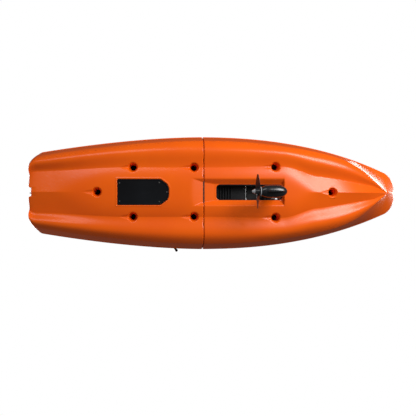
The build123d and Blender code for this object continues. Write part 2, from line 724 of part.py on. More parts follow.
def drive_housing():
    """The drive's housing: gearcase, column, pivot boss and pod, hollowed for its gears and shafts."""
    x, z = DRIVE_X, CRANK_Z
    case = centre_rod(x, z, -CASE_HALF, CASE_HALF, CASE_RADIUS)
    case = case & box_between((x - 90, -60, z - 90), (x + 90, 60, z + CASE_FLAT))
    column = Pos(x, 0, PROP_Z + 20) * extrude(Ellipse(LEG_CHORD / 2, LEG_THICK / 2), z - 50 - PROP_Z - 20)
    boss = centre_rod(x, PIVOT_Z, -BOSS_HALF, BOSS_HALF, BOSS_RADIUS)
    whole = together([case, column, boss, pod_shape()])
    wall = CASE_WALL
    hollow = [
        centre_rod(x, z, -CASE_HALF + wall, CASE_HALF - wall, CASE_RADIUS - wall),
        centre_rod(x, z, -60, 60, AXLE_BORE),
        rod((x, 0, PROP_Z + 15), (x, 0, z), SHAFT_BORE),
        rod((432, 0, PROP_Z), (540, 0, PROP_Z), 38),
        rod((x, 0, PROP_Z + 5), (x, 0, PROP_Z + 26), 35),
        rod((390, 0, PROP_Z), (570, 0, PROP_Z), PROP_SHAFT_BORE),
        centre_rod(x, PIVOT_Z, -60, -30, TRUNNION_RADIUS),
        centre_rod(x, PIVOT_Z, 30, 60, TRUNNION_RADIUS),
    ]
    for piece in hollow:
        whole = whole - piece
    for dx, height in HOUSING_SCREWS:
        whole = whole - housing_screw(dx, height) - centre_rod(x + dx, height, 12, 40, SCREW_HEAD + 0.3)
    return whole


def face_gear(teeth, pitch, low, high, root, tip, bore, thick):
    """A disc whose radial teeth stand on its -Z face: root and tip are heights below z = 0, the pitch plane."""
    pitch_arc = 2 * pi / teeth
    disc = Pos(0, 0, root) * Cylinder(high + 1, thick, align=(Align.CENTER, Align.CENTER, Align.MIN))
    tooth_faces = []
    for radius in (low, high):
        wide, slim = radius * pitch_arc * 0.26, radius * pitch_arc * 0.14
        outline = Polyline((-wide, root + 0.6), (-slim, -tip), (slim, -tip), (wide, root + 0.6), close=True)
        tooth_faces.append(Plane(origin=(radius, 0, 0), x_dir=(0, 1, 0), z_dir=(1, 0, 0)) * make_face(outline))
    tooth = loft(tooth_faces, ruled=True)
    ring_of_teeth = [Rot(0, 0, degrees(pitch_arc * (k + 0.5))) * tooth for k in range(teeth)]
    disc = disc + ring_of_teeth
    return disc - Cylinder(bore, 200)


def pinion(teeth, pitch, length, add, bore):
    """A small gear about Z, centred on the origin, with a tooth towards +X."""
    root = pitch - add - 0.6
    blank = Cylinder(root, length)
    arc = 2 * pi * pitch / teeth
    tooth = extrude(make_face(Polyline((root - 1, -arc * 0.24), (pitch + add, -arc * 0.12), (pitch + add, arc * 0.12),
                                       (root - 1, arc * 0.24), close=True)), length / 2, both=True)
    return blank + [Rot(0, 0, 360 * k / teeth) * tooth for k in range(teeth)] - Cylinder(bore, 200)


crank_pitch_y = 15        # the crank gear's pitch plane
lower_pitch_z = PROP_Z + 12


def crank_gear():
    disc = face_gear(CRANK_TEETH, CRANK_PITCH, 54, 66, 2.4, 1.8, AXLE_RADIUS, 7)
    disc = disc + (Pos(0, 0, 9) * Cylinder(18, 9) - Cylinder(AXLE_RADIUS, 200))
    return Pos(DRIVE_X, crank_pitch_y, CRANK_Z) * Rot(-90, 0, 0) * disc


def upper_pinion():
    gear = Rot(0, 0, 90) * pinion(PINION_TEETH, 15, 12, 1.8, SHAFT_RADIUS)
    return Pos(DRIVE_X, 0, CRANK_Z - CRANK_PITCH) * gear


def lower_gear():
    disc = face_gear(LOWER_TEETH, LOWER_PITCH, 26.5, 32.5, 2.2, 1.4, SHAFT_RADIUS, 6)
    return Pos(DRIVE_X, 0, lower_pitch_z) * Rot(0, 0, 180) * disc


def prop_pinion():
    gear = Rot(0, -90, 0) * pinion(PINION_TEETH, 12, 6, 1.4, PROP_SHAFT_RADIUS)
    return Pos(DRIVE_X - LOWER_PITCH, 0, PROP_Z) * gear


def propeller():
    """Two-bladed propeller: a hub and twisted tapered blades that lie along Y."""
    hub = rod((PROP_X - 20, 0, PROP_Z), (PROP_X + 18, 0, PROP_Z), 21)
    blades = []
    for side in (1, -1):
        faces = []
        for share, chord, pitch in ((0.1, 26, 46), (0.3, 44, 38), (0.55, 46, 29), (0.8, 36, 22), (1, 16, 17)):
            y = side * PROP_RADIUS * share
            across = radians(pitch) * side
            thick = 2.6 - 1.2 * share
            plane = Plane(origin=(PROP_X, y, PROP_Z), x_dir=(sin(across), 0, cos(across)), z_dir=(0, 1, 0))
            faces.append(plane * RectangleRounded(chord, 2 * thick, thick * 0.9))
        blades.append(loft(faces))
    return together([hub] + blades) - rod((PROP_X - 60, 0, PROP_Z), (PROP_X + 60, 0, PROP_Z), PROP_SHAFT_RADIUS)


def crank_arms(side):
    x_end = DRIVE_X + side * CRANK_LENGTH
    low, high = sorted((side * 46, side * 59))
    hub = centre_rod(DRIVE_X, CRANK_Z, low, high, 21)
    arm = box_between((min(DRIVE_X, x_end), low, CRANK_Z - 12), (max(DRIVE_X, x_end), high, CRANK_Z + 12))
    whole = together([hub, arm, centre_rod(x_end, CRANK_Z, low, high, 15)])
    return whole - centre_rod(DRIVE_X, CRANK_Z, -80, 80, AXLE_RADIUS) - centre_rod(x_end, CRANK_Z, -80, 80, PEDAL_AXLE)


def pedal_axle(side):
    x_end = DRIVE_X + side * CRANK_LENGTH
    low, high = sorted((side * 46.5, side * (PEDAL_OUT + 4)))
    cap = sorted((side * (PEDAL_OUT + 1), side * (PEDAL_OUT + 5)))
    return centre_rod(x_end, CRANK_Z, low, high, PEDAL_AXLE) + centre_rod(x_end, CRANK_Z, cap[0], cap[1], 10)


def pedal(side):
    x_end = DRIVE_X + side * CRANK_LENGTH
    low, high = sorted((side * PEDAL_IN, side * PEDAL_OUT))
    body = box_between((x_end - 46, low, CRANK_Z - 12), (x_end + 46, high, CRANK_Z + 12))
    body = fillet(body.edges().filter_by(Axis.Y), 9)
    for dx in (-28, 28):
        body = body - box_between((x_end + dx - 9, low + 12, CRANK_Z - 20), (x_end + dx + 9, high - 12, CRANK_Z + 20))
    return body - centre_rod(x_end, CRANK_Z, low - 5, high + 5, PEDAL_AXLE + RUNNING)


def lift_handle():
    top = CRANK_Z + CASE_FLAT
    posts = [rod((DRIVE_X, s * 30, top), (DRIVE_X, s * 30, top + 42), 8) for s in (1, -1)]
    return together(posts + [rod((DRIVE_X, -44, top + 42), (DRIVE_X, 44, top + 42), 11)])


def skeg():
    """The fin under the pod."""
    outline = Polyline((440, -245), (572, -236), (556, -262), (505, -290), (462, -290), close=True)
    face = Plane(origin=(0, 0, 0), x_dir=(1, 0, 0), z_dir=(0, -1, 0)) * make_face(outline)
    return extrude(face, 3.5, both=True) - pod_shape()


# ---------------------------------------------------------------- seat
def pipes(routes, radius, wall):
    """Hollow tubes joined where they meet."""
    outer = together([rod(a, b, radius) for a, b in routes])
    return outer, together([rod(a, b, radius - wall) for a, b in routes])


SEAT_RAIL_Z = 262
SEAT_RAIL_Y = 195
SEAT_AFT = -400
SEAT_FRONT = -52
SEAT_LEGS = (SEAT_AFT, -165)
TUBE = 11


def seat_frame():
    z, y = SEAT_RAIL_Z, SEAT_RAIL_Y
    routes = [((SEAT_AFT, s * y, z), (SEAT_FRONT, s * y, z)) for s in (1, -1)]
    routes += [((x, -y, z), (x, y, z)) for x in (SEAT_AFT, -225, SEAT_FRONT)]
    routes += [((x, s * y, z), (x, s * y, SEAT_FLOOR + 7)) for x in SEAT_LEGS for s in (1, -1)]
    balls = [Pos(x, s * y, z) * Sphere(TUBE) for x in (SEAT_AFT, SEAT_FRONT) for s in (1, -1)]
    outer, inner = pipes(routes, TUBE, 2)
    inner = inner + [rod((x, s * y, z), (x, s * y, SEAT_FLOOR), TUBE - 2) for x in SEAT_LEGS for s in (1, -1)]
    px, pz = SEAT_PIVOT
    ears = [box_between((px - 15, s * y - 4, z), (px + 15, s * y + 4, pz + 15)) for s in (1, -1)]
    whole = together([outer] + balls + ears) - inner
    return whole - rod((px, -260, pz), (px, 260, pz), 5)


def seat_foot(x, y):
    whole = rod((x, y, SEAT_FLOOR), (x, y, SEAT_FLOOR + 26), 16)
    return whole - rod((x, y, SEAT_FLOOR + 7), (x, y, SEAT_FLOOR + 30), TUBE)


def pad(size, centre, corner):
    """A plain soft pad with rounded edges."""
    body = Pos(*centre) * Box(*size)
    return fillet(body.edges(), corner)


def lean(shape):
    """Tips a back-rest piece aft about the seat's pivot."""
    px, pz = SEAT_PIVOT
    return Pos(px, 0, pz) * Rot(0, -SEAT_LEAN, 0) * shape


BACK_Y = 213
BACK_TOP = 360


def seat_back_frame():
    points = [(0, BACK_Y, -16), (0, BACK_Y, BACK_TOP), (0, -BACK_Y, BACK_TOP), (0, -BACK_Y, -16)]
    path = FilletPolyline(*points, radius=60)
    start = Plane(origin=path @ 0, z_dir=path % 0)
    loop = sweep(start * Circle(10), path=path) + rod((0, -BACK_Y, 90), (0, BACK_Y, 90), 9)
    loop = loop - sweep(start * Circle(8), path=path)
    return lean(loop - rod((0, -260, 0), (0, 260, 0), 5 + RUNNING))


def seat_bolt(side):
    px, pz = SEAT_PIVOT
    low, high = sorted((side * 188, side * 227))
    cap = sorted((side * 223.6, side * 229))
    return rod((px, low, pz), (px, high, pz), 5) + rod((px, cap[0], pz), (px, cap[1], pz), 9)


# ---------------------------------------------------------------- steering and rudder
def lever_mount():
    x, y = LEVER_PIVOT
    return together([rod((x, y, DECK), (x, y, DECK + 14.6), 26), rod((x, y, DECK), (x, y, DECK + 30), 8),
                     rod((x, y, DECK + 28), (x, y, DECK + 32), 13)])


def steering_lever():
    (x, y), (tx, ty) = LEVER_PIVOT, LEVER_TIP
    reach, turn = hypot(tx - x, ty - y), degrees(atan2(ty - y, tx - x))
    arm = Pos(x, y, DECK + 21.2) * Rot(0, 0, turn) * Pos(reach / 2, 0, 0) * Box(reach, 17, 9)
    hub = rod((x, y, DECK + 15), (x, y, DECK + 27.4), 20)
    whole = together([hub, arm, rod((tx, ty, DECK + 16.7), (tx, ty, DECK + 25.7), 8.5)])
    return whole - rod((x, y, DECK), (x, y, DECK + 40), 8 + RUNNING) - rod((tx, ty, DECK), (tx, ty, DECK + 60), 5)


def lever_knob():
    tx, ty = LEVER_TIP
    body = rod((tx, ty, DECK + 26), (tx, ty, DECK + 54), 10.5)
    body = fillet(body.edges(), 5)
    return body + rod((tx, ty, DECK + 14), (tx, ty, DECK + 30), 5) + rod((tx, ty, DECK + 12), (tx, ty, DECK + 16.4), 8)


def rudder_bracket():
    x = RUDDER_PIN_X
    plate = box_between((transom_plate_x, -25, 240), (-STERN_LENGTH + NOTCH_DEPTH, 25, 302))
    webs = [box_between((x, -8, z), (transom_plate_x + 1, 8, z + 14)) for z in (240, 288)]
    eyes = [rod((x, 0, z), (x, 0, z + 14), 10) for z in (240, 288)]
    return near_screws(together([plate] + webs + eyes) - rod((x, 0, 200), (x, 0, 330), 5))


def rudder_pin():
    x = RUDDER_PIN_X
    return together([rod((x, 0, 234), (x, 0, 316), 5), rod((x, 0, 314.4), (x, 0, 317.4), 8),
                     rod((x, 0, 236), (x, 0, 239.9), 8)])


def rudder_yoke():
    x = RUDDER_PIN_X
    px, pz = BLADE_PIVOT
    drum = rod((x, 0, 302.3), (x, 0, 314), 18) - ring((x, 0, 306.6), UP, 20, 16.2, 3.4)
    outline = Polyline((x + 9, 312), (x - 14, 312), (px - 14, 376), (px - 14, pz + 13), (px + 14, pz + 13), close=True)
    cheeks = []
    for side in (1, -1):
        flat = Plane(origin=(0, side * 8.5, 0), x_dir=(1, 0, 0), z_dir=(0, -1, 0)) * make_face(outline)
        cheeks.append(extrude(flat, 3, both=True))
    whole = together([drum] + cheeks) - rod((x, 0, 290), (x, 0, 320), 5 + RUNNING)
    whole = whole - rod((x, 0, 314.01), (x, 0, 330), 8.6)
    return whole - centre_rod(px, pz, -20, 20, 4)


def rudder_blade():
    px, pz = BLADE_PIVOT
    points = ((px - 14, 322), (px - 14, pz + 12), (px + 260, pz + 12), (px + 318, pz - 6), (px + 332, pz - 44),
              (px + 300, 318), (px - 8, 318))
    face = Plane(origin=(0, 0, 0), x_dir=(1, 0, 0), z_dir=(0, -1, 0)) * make_face(Polyline(*points, close=True))
    return extrude(face, 4, both=True) - centre_rod(px, pz, -20, 20, 4 + RUNNING)


def blade_bolt():
    px, pz = BLADE_PIVOT
    heads = [centre_rod(px, pz, a, b, 7) for a, b in ((11.5, 15), (-15, -11.5))]
    return together([centre_rod(px, pz, -14, 14, 4)] + heads)


def steering_line():
    """The line that wraps the rudder's drum and runs forward into the stern deck."""
    x, z, r = RUDDER_PIN_X, 308.3, 17.9
    path = Line((-1262, r, z), (x, r, z)) + ThreePointArc((x, r, z), (x - r, 0, z), (x, -r, z))
    path = path + Line((x, -r, z), (-1262, -r, z))
    return sweep(Plane(origin=(-1262, r, z), z_dir=(-1, 0, 0)) * Circle(1.4), path=path)


def line_guide(side):
    body = fillet(box_between((-1270, side * 18 - 8, DECK), (-1254, side * 18 + 8, DECK + 14)).edges().filter_by(
        Axis.Z), 4)
    return body - rod((-1271, side * 17.9, 308.3), (-1261.9, side * 17.9, 308.3), 1.6)


# ---------------------------------------------------------------- the nodes
def make_hull():
    save("stern_hull", module(STERN_STATIONS, False))
    save("bow_hull", module(BOW_STATIONS, True))


def make_fittings():
    save("seam_gasket", gasket())
    save("scupper_plugs", *[plug(p) for p in SCUPPERS])
    save("bay_cover", bay_cover())
    save("hatch_rims", hatch_rim(STERN_HATCH_X, TANK_FLOOR), hatch_rim(BOW_HATCH_X, BOW_WELL_FLOOR))
    save("stern_hatch_lid", hatch_lid(STERN_HATCH_X, TANK_FLOOR))
    save("bow_hatch_lid", hatch_lid(BOW_HATCH_X, BOW_WELL_FLOOR))
    save("drain_plugs", drain_plug(STERN_DRAIN), drain_plug(BOW_DRAIN))
    save("carry_grips", grip((STERN_GRIP_X, 0, RECESS_FLOOR), "y"), grip((SIDE_GRIP_X, side_grip_y, DECK), "x"),
         grip((SIDE_GRIP_X, -side_grip_y, DECK), "x"))
    save("gear_tracks", *both(gear_track))
    save("rod_holders", *both(rod_holder))
    save("latch_bases", *both(latch_base))
    save("latch_keepers", *both(latch_keeper))
    save("port_latch_lever", latch_lever(1))
    save("starboard_latch_lever", latch_lever(-1))
    save("bow_handle_brackets", *both(bow_bracket))
    save("bow_handle", bow_handle())
    save("tank_bungees", bungee_path(1, 3), bungee_path(-1, 3))
    save("bungee_hooks", *bungee_hooks())
    save("deck_screws", *[screw(place) for place in SCREWS])


def make_drive():
    x, z = DRIVE_X, CRANK_Z
    save("drive_cradle", cradle())
    shell = drive_housing()
    for name, low, high in (("drive_housing_port", 0, 99), ("drive_housing_starboard", -99, 0)):
        half = shell & box_between((300, low, -400), (700, high, 700))
        save(name, max(half.solids(), key=lambda s: s.volume))
    save("housing_screws", *[housing_screw(dx, height) for dx, height in HOUSING_SCREWS])
    save("trunnion_pins", *[centre_rod(x, PIVOT_Z, *sorted((s * 30, s * 56)), TRUNNION_RADIUS) for s in (1, -1)])
    save("lift_handle", lift_handle())
    save("skeg", skeg())
    shaft_ring = SHAFT_RADIUS + RUNNING
    prop_ring = PROP_SHAFT_RADIUS + RUNNING
    save("shaft_bearings", ring((x, 0, 382), UP, SHAFT_BORE, shaft_ring, 14),
         ring((x, 0, -172), UP, SHAFT_BORE, shaft_ring, 14),
         ring((405, 0, PROP_Z), (1, 0, 0), PROP_SHAFT_BORE, prop_ring, 14),
         ring((556, 0, PROP_Z), (1, 0, 0), PROP_SHAFT_BORE, prop_ring, 12),
         ring((x, 34, z), (0, 1, 0), AXLE_BORE, AXLE_RADIUS + RUNNING, 8),
         ring((x, -42, z), (0, 1, 0), AXLE_BORE, AXLE_RADIUS + RUNNING, 8))
    save("drive_shaft", rod((x, 0, lower_pitch_z + 0.5), (x, 0, z - CRANK_PITCH + 8), SHAFT_RADIUS))
    save("upper_pinion", upper_pinion())
    save("lower_gear", lower_gear())
    save("prop_shaft", rod((PROP_X - 40, 0, PROP_Z), (568, 0, PROP_Z), PROP_SHAFT_RADIUS))
    save("prop_pinion", prop_pinion())
    save("propeller", propeller())
    save("prop_nut", Pos(PROP_X - 20, 0, PROP_Z) * Rot(0, -90, 0) * Cone(
        19, 5, 26, align=(Align.CENTER, Align.CENTER, Align.MIN)) - rod((0, 0, PROP_Z), (900, 0, PROP_Z),
                                                                       PROP_SHAFT_RADIUS))
    save("pod_collar", ring((POD_AFT - 4.5, 0, PROP_Z), (1, 0, 0), 34, 24, 4.5))
    save("crank_axle", centre_rod(x, z, -60, 60, AXLE_RADIUS))
    save("crank_gear", crank_gear())
    save("crank_arms", *both(crank_arms))
    save("pedal_axles", *both(pedal_axle))
    save("pedal_port", pedal(1))
    save("pedal_starboard", pedal(-1))


def make_seat():
    save("seat_frame", seat_frame())
    save("seat_feet", *[seat_foot(x, s * SEAT_RAIL_Y) for x in SEAT_LEGS for s in (1, -1)])
    save("seat_cushion", pad((330, 356, 38), ((SEAT_AFT + SEAT_FRONT) / 2 + 2, 0, SEAT_RAIL_Z + TUBE + 19.5), 15))
    save("seat_back_frame", seat_back_frame())
    save("back_cushion", lean(pad((38, 372, 290), (29.5, 0, 205), 15)))
    save("seat_bolts", *both(seat_bolt))


def make_steering():
    save("lever_mount", lever_mount())
    save("steering_lever", steering_lever())
    save("lever_knob", lever_knob())
    save("rudder_bracket", rudder_bracket())
    save("rudder_pin", rudder_pin())
    save("rudder_yoke", rudder_yoke())
    save("rudder_blade", rudder_blade())
    save("blade_bolt", blade_bolt())
    save("steering_line", steering_line())
    save("line_guides", *both(line_guide))


make_fittings()
make_drive()
make_seat()
make_steering()
make_hull()
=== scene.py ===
import json
import bmesh
import bpy
import numpy as np
from mathutils import Matrix, Vector


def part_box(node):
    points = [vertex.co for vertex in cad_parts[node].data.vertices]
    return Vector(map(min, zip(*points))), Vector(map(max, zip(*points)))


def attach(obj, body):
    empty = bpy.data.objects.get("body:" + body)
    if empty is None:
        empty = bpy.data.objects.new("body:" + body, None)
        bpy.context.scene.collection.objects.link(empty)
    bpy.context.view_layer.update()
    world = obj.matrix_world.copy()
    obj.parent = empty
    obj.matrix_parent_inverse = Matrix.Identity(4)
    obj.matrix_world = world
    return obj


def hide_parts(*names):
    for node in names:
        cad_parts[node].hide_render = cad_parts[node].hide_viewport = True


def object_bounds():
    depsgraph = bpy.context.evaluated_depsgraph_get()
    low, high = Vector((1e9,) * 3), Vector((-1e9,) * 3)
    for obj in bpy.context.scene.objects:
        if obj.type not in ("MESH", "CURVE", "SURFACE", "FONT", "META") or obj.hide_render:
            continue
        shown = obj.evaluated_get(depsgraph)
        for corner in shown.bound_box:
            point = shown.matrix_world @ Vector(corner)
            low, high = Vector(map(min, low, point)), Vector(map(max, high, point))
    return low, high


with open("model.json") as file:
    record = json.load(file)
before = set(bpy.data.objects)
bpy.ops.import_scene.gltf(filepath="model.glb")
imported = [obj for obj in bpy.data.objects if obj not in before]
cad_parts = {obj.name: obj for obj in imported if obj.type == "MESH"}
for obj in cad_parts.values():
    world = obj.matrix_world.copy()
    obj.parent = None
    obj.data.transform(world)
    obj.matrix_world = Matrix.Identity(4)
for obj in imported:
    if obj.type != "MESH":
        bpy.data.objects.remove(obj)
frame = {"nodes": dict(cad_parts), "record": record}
cad_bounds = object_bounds()

# ------------------------------------------------------------ the camera, the floor and the light
# The kayak is seen from under its keel, a little aft of the middle and to port. It floats over a pale studio floor
# that shows only from above, so the camera under it looks straight through.
CAMERA_PLACE = Vector((-0.220, 0.127, -4.36))
CAMERA_AIM = Vector((0.030, 0.120, 0.0))
FLOOR_HALF, FLOOR_GAP = 9.0, 0.002
WORLD_CAST, WORLD_SHINE_LESS = 0.22, -0.17     # light from all round, and how much less of it shiny surfaces show
camera = bpy.data.objects.new("camera", bpy.data.cameras.new("camera"))
bpy.context.collection.objects.link(camera)
camera.data.lens = 50.0
camera.data.clip_end = 60.0
gaze = (CAMERA_AIM - CAMERA_PLACE).normalized()
right = (Vector((1, 0, 0)) - gaze * gaze.x).normalized()
turned_to_aim = Matrix((right, (-gaze).cross(right), -gaze)).transposed().to_4x4()
camera.matrix_world = Matrix.Translation(CAMERA_PLACE) @ turned_to_aim
bpy.context.scene.camera = camera
bpy.context.scene.view_settings.view_transform = "Standard"


def place(tree, kind, values=(), **settings):
    """Adds a shader node to a tree, sets its properties, and gives each input a value or links a socket to it."""
    node = tree.nodes.new("ShaderNode" + kind)
    for key, value in settings.items():
        setattr(node, key, value)
    for key, value in dict(values).items():
        if isinstance(value, bpy.types.NodeSocket):
            tree.links.new(value, node.inputs[key])
        else:
            node.inputs[key].default_value = value
    return node


def new_material(name):
    """An empty node material. Returns it with its node tree."""
    material = bpy.data.materials.new(name)
    material.use_nodes = True
    material.node_tree.nodes.clear()
    return material, material.node_tree


floor_finish, tree = new_material("studio_floor")
pale = place(tree, "BsdfDiffuse", {"Color": (0.80, 0.80, 0.79, 1)})
clear = place(tree, "BsdfTransparent")
paths, facing = place(tree, "LightPath"), place(tree, "NewGeometry")
from_above = place(tree, "Math", {0: paths.outputs["Is Camera Ray"], 1: facing.outputs["Backfacing"]},
                   operation="SUBTRACT", use_clamp=True)
choose = place(tree, "MixShader", {0: from_above.outputs[0], 1: clear.outputs[0], 2: pale.outputs[0]})
place(tree, "OutputMaterial", {"Surface": choose.outputs[0]})
ground = cad_bounds[0][2] - FLOOR_GAP
floor_corners = [(x * FLOOR_HALF, y * FLOOR_HALF, ground) for x, y in ((-1, -1), (1, -1), (1, 1), (-1, 1))]
floor_mesh = bpy.data.meshes.new("floor")
floor_mesh.from_pydata(floor_corners, [], [(0, 1, 2, 3)])
floor_mesh.materials.append(floor_finish)
floor = bpy.data.objects.new("floor", floor_mesh)
bpy.context.collection.objects.link(floor)

world = bpy.data.worlds.new("studio")
bpy.context.scene.world = world
world.use_nodes = True
tree = world.node_tree
tree.nodes.clear()
paths = place(tree, "LightPath")
strength = place(tree, "Math", {0: paths.outputs["Is Glossy Ray"], 1: WORLD_SHINE_LESS, 2: WORLD_CAST},
                 operation="MULTIPLY_ADD")
seen = place(tree, "Background", {"Color": (1, 1, 1, 1), "Strength": 1.0})
cast = place(tree, "Background", {"Color": (1, 1, 1, 1), "Strength": strength.outputs[0]})
choose = place(tree, "MixShader", {0: paths.outputs["Is Camera Ray"], 1: cast.outputs[0], 2: seen.outputs[0]})
place(tree, "OutputWorld", {"Surface": choose.outputs[0]})


def soft_light(name, spot, aim, width, height, power):
    """A rectangular studio light at spot that faces aim."""
    light = bpy.data.objects.new(name, bpy.data.lights.new(name, "AREA"))
    light.data.shape = "RECTANGLE"
    light.data.size, light.data.size_y = width, height
    light.data.energy = power
    light.location = spot
    light.rotation_euler = (Vector(aim) - Vector(spot)).to_track_quat("-Z", "Y").to_euler()
    bpy.context.collection.objects.link(light)


soft_light("under_bow", (2.6, -2.1, -3.0), (0.5, 0, 0), 2.6, 2.2, 205)
soft_light("under_stern", (-1.6, -2.9, -2.6), (-0.5, 0, 0), 2.4, 1.8, 36)
soft_light("above_bow", (3.7, -0.3, 3.2), (0.4, 0, 0.3), 2.4, 2.4, 170)
soft_light("above_stern", (-3.6, 0.3, 3.0), (-0.4, 0, 0.3), 2.4, 2.4, 150)

# ------------------------------------------------------------ the two hull modules
# Each module is one hollow moulding in orange polyethylene, spun in an oven mould, so every edge is round and the
# skin has a faint orange peel. They meet at a dark seam amidships. Lengths here are in millimetres.
BOW_END, STERN_END, HALF_BEAM = 1590.0, -1315.0, 450.0
DECK, RIM, SEAM_HALF = 300.0, 26.0, 2.0
RING_STEP = 3.0                    # spacing of the rings round a scupper
RING_COUNT = 15
VALLEY_SHARE = 0.475               # where the tunnel's valley lies on a line that runs from keel 0 to edge 1
INNER_SHARE, INNER_Y = 0.27, 106.3
WELL_SHARE = INNER_SHARE * 60.0 / INNER_Y
WALL_SHARES = (0.62, 0.70)
LINE_STEP = RING_STEP / (INNER_Y / INNER_SHARE)
BORE_RINGS = 7
BAY_MIDDLE = 458.0                 # aft of the seam
BOW_CORNER, STERN_CORNER = 84.0, 58.0
WELL_CORE = ((350.5, 0), (225.5, 30), 34, 62)      # the drive well: centre, core box, reach and fade of its rings
WELL_ENDS = (95.0, 606.0)
FLANK_PARTS = (0.04, 0.12, 0.22, 0.34, 0.46, 0.58, 0.70, 0.82, 0.93)


def ease(value, low, high):
    """0 below low and 1 above high, along a cubic between them."""
    share = np.clip((value - low) / (high - low), 0, 1)
    return share * share * (3 - 2 * share)


def gunwale_half(x):
    """Half beam at the gunwale: a power curve that narrows from the seam to each end."""
    aft, ahead = np.maximum(-x, 0) / -STERN_END, np.maximum(x, 0) / BOW_END
    return HALF_BEAM - 136 * aft ** 1.7 - 315 * ahead ** 2.25


def chine_half(x):
    """Half breadth at the chine: 55 mm inside the gunwale, and closing on the keel towards the bow."""
    fade = np.clip((x - 900) / 600, 0, 1) ** 3.2
    return np.maximum(9, (gunwale_half(x) - 55) * (1 - fade))


def gunwale_height(x):
    """Height of the gunwale: level, then a parabola that rises 69 mm over the bow."""
    return DECK + 68.7 * (np.maximum(x - 905, 0) / 685) ** 2


def keel_height(x):
    """Height of the keel: level amidships, a steep power curve at the stem and a shallow parabola aft."""
    return 318 * (np.maximum(x - 800, 0) / 790) ** 3.1 + 22 * (np.maximum(-x - 900, 0) / 415) ** 2


def valley_half(x):
    """Distance of a tunnel's valley from the keel: near 190 mm amidships, closing in at both ends."""
    middle = 187 + 7 * ease(x, 0, 500) - 32 * ease(-x, 560, 1300)
    ahead = middle - 74 * ease(x, 600, 900) - 0.16 * np.maximum(x - 900, 0)
    return np.maximum(0.3 * chine_half(x), np.where(x > 900, np.minimum(ahead, 0.46 * chine_half(x)), ahead))


def bottom_height(x, y):
    """Hull bottom by distance from the keel: a keel pad or V, the tunnel's valley, the sponson, and the rise to the
    chine."""
    keel, chine, valley = keel_height(x), chine_half(x), valley_half(x)
    slim = np.minimum(1, chine / 200)
    vee = np.maximum(ease(-x, 700, 1150), ease(x, 640, 900))
    valley_rise = (24 + 14 * vee) * slim
    ridge = valley + 0.56 * (chine - valley)
    ridge_rise = (5 + 9 * ease(x, 700, 1200)) * slim
    chine_rise = 66 * np.minimum(1, chine / 320) ** 0.8
    y = np.abs(y)
    inner = valley_rise * np.clip(y / valley, 0, 1) ** (3 - 2 * vee)
    middle = valley_rise + (ridge_rise - valley_rise) * ease(y, valley, ridge)
    outer = ridge_rise + (chine_rise - ridge_rise) * np.clip((y - ridge) / (chine - ridge), 0, 1) ** 2.2
    return keel + np.where(y < valley, inner, np.where(y < ridge, middle, outer))


# Each scupper's place along the hull, and its side: 1 port, -1 starboard, 0 on the keel.
SCUPPER_PLACES = ((-804.0, 0.0), (-537.0, 1.0), (-537.0, -1.0), (-75.0, 1.0), (-75.0, -1.0), (549.0, 1.0),
                  (549.0, -1.0), (990.0, 0.0))


def graded(low, high, coarse, spots):
    """Line positions from low to high. The spacing is coarse, and narrows near each spot, which is a place, a half
    width and a spacing: the lines are even steps of the spacing's summed inverse."""
    x = np.linspace(low, high, 3001)
    step = np.full_like(x, coarse)
    for place, half, fine in spots:
        step = np.minimum(step, fine + 0.3 * np.maximum(np.abs(x - place) - half, 0))
    count = np.concatenate([[0], np.cumsum((1 / step[1:] + 1 / step[:-1]) / 2 * np.diff(x))])
    return np.interp(np.linspace(0, count[-1], int(np.ceil(count[-1])) + 1), count, x)


def joined(marks, coarse, spots):
    """Joins runs of exact line positions with graded lines between them."""
    pieces = [marks[0]]
    for before, after in zip(marks[:-1], marks[1:]):
        pieces += [graded(before[-1], after[0], coarse, spots)[1:-1], after]
    return np.concatenate(pieces)


def rings_at(place, step):
    """Even line positions to both sides of a place, one for each ring."""
    return place + step * np.arange(-RING_COUNT, RING_COUNT + 1)


half_shares = joined([LINE_STEP * np.arange(0, RING_COUNT + 1), np.array([WELL_SHARE]), np.array([INNER_SHARE]),
                      rings_at(VALLEY_SHARE, LINE_STEP), np.array([WALL_SHARES[0]]), np.array([WALL_SHARES[1]]),
                      np.array([1.0])], 0.018,
                     [(0.2, 0.08, 0.0092), (0.66, 0.04, 0.009), (1.0, 0.01, 0.009)])
shares = np.concatenate([-half_shares[:0:-1], half_shares])


def wall_half(x):
    """Half width of the deck's wells: each is set in from the gunwale, and the setting changes between wells."""
    inset = 168 - 18 * ease(x, -486, -446) - 45 * ease(x, -4, 4) + 5 * ease(x, 855, 900)
    return gunwale_half(x) - inset


def rounded_ring(x, y, u, w, centre, core, reach, fade):
    """Moves points onto rounded rings round a core box: the ring is the larger of the two distances u and w from the
    core, and the point keeps its direction. The move fades out between reach and fade."""
    qx, qy = np.clip(u, -core[0], core[0]), np.clip(w, -core[1], core[1])
    du, dw = u - qx, w - qy
    far, straight = np.maximum(np.abs(du), np.abs(dw)), np.hypot(du, dw)
    scale = np.where(straight > 1e-9, far / np.maximum(straight, 1e-9), 1)
    weight = 1 - ease(far, reach, fade)
    return (x + weight * (centre[0] + qx + du * scale - x), y + weight * (centre[1] + qy + dw * scale - y))


def bay_distance(x, y):
    """Signed distance, negative inside, from the outline of the bay: a box with cut corners at its forward end."""
    x, y = x + BAY_MIDDLE, np.abs(y)
    nose = ((x - 132) * 38.4 + (y - 99) * 49.6) / 62.7
    tip = ((x - 181.6) * 31.7 + (y - 61) * 12.4) / 34.0
    return np.maximum.reduce([-194 - x, x - 194, y - 99, nose, tip])


def box_distance(x, y, low, high, half, corner):
    """Signed distance from a box with round corners that runs from low to high and reaches half to each side."""
    dx, dy = np.maximum(low - x, x - high) + corner, np.abs(y) - half + corner
    return np.hypot(np.maximum(dx, 0), np.maximum(dy, 0)) + np.minimum(np.maximum(dx, dy), 0) - corner


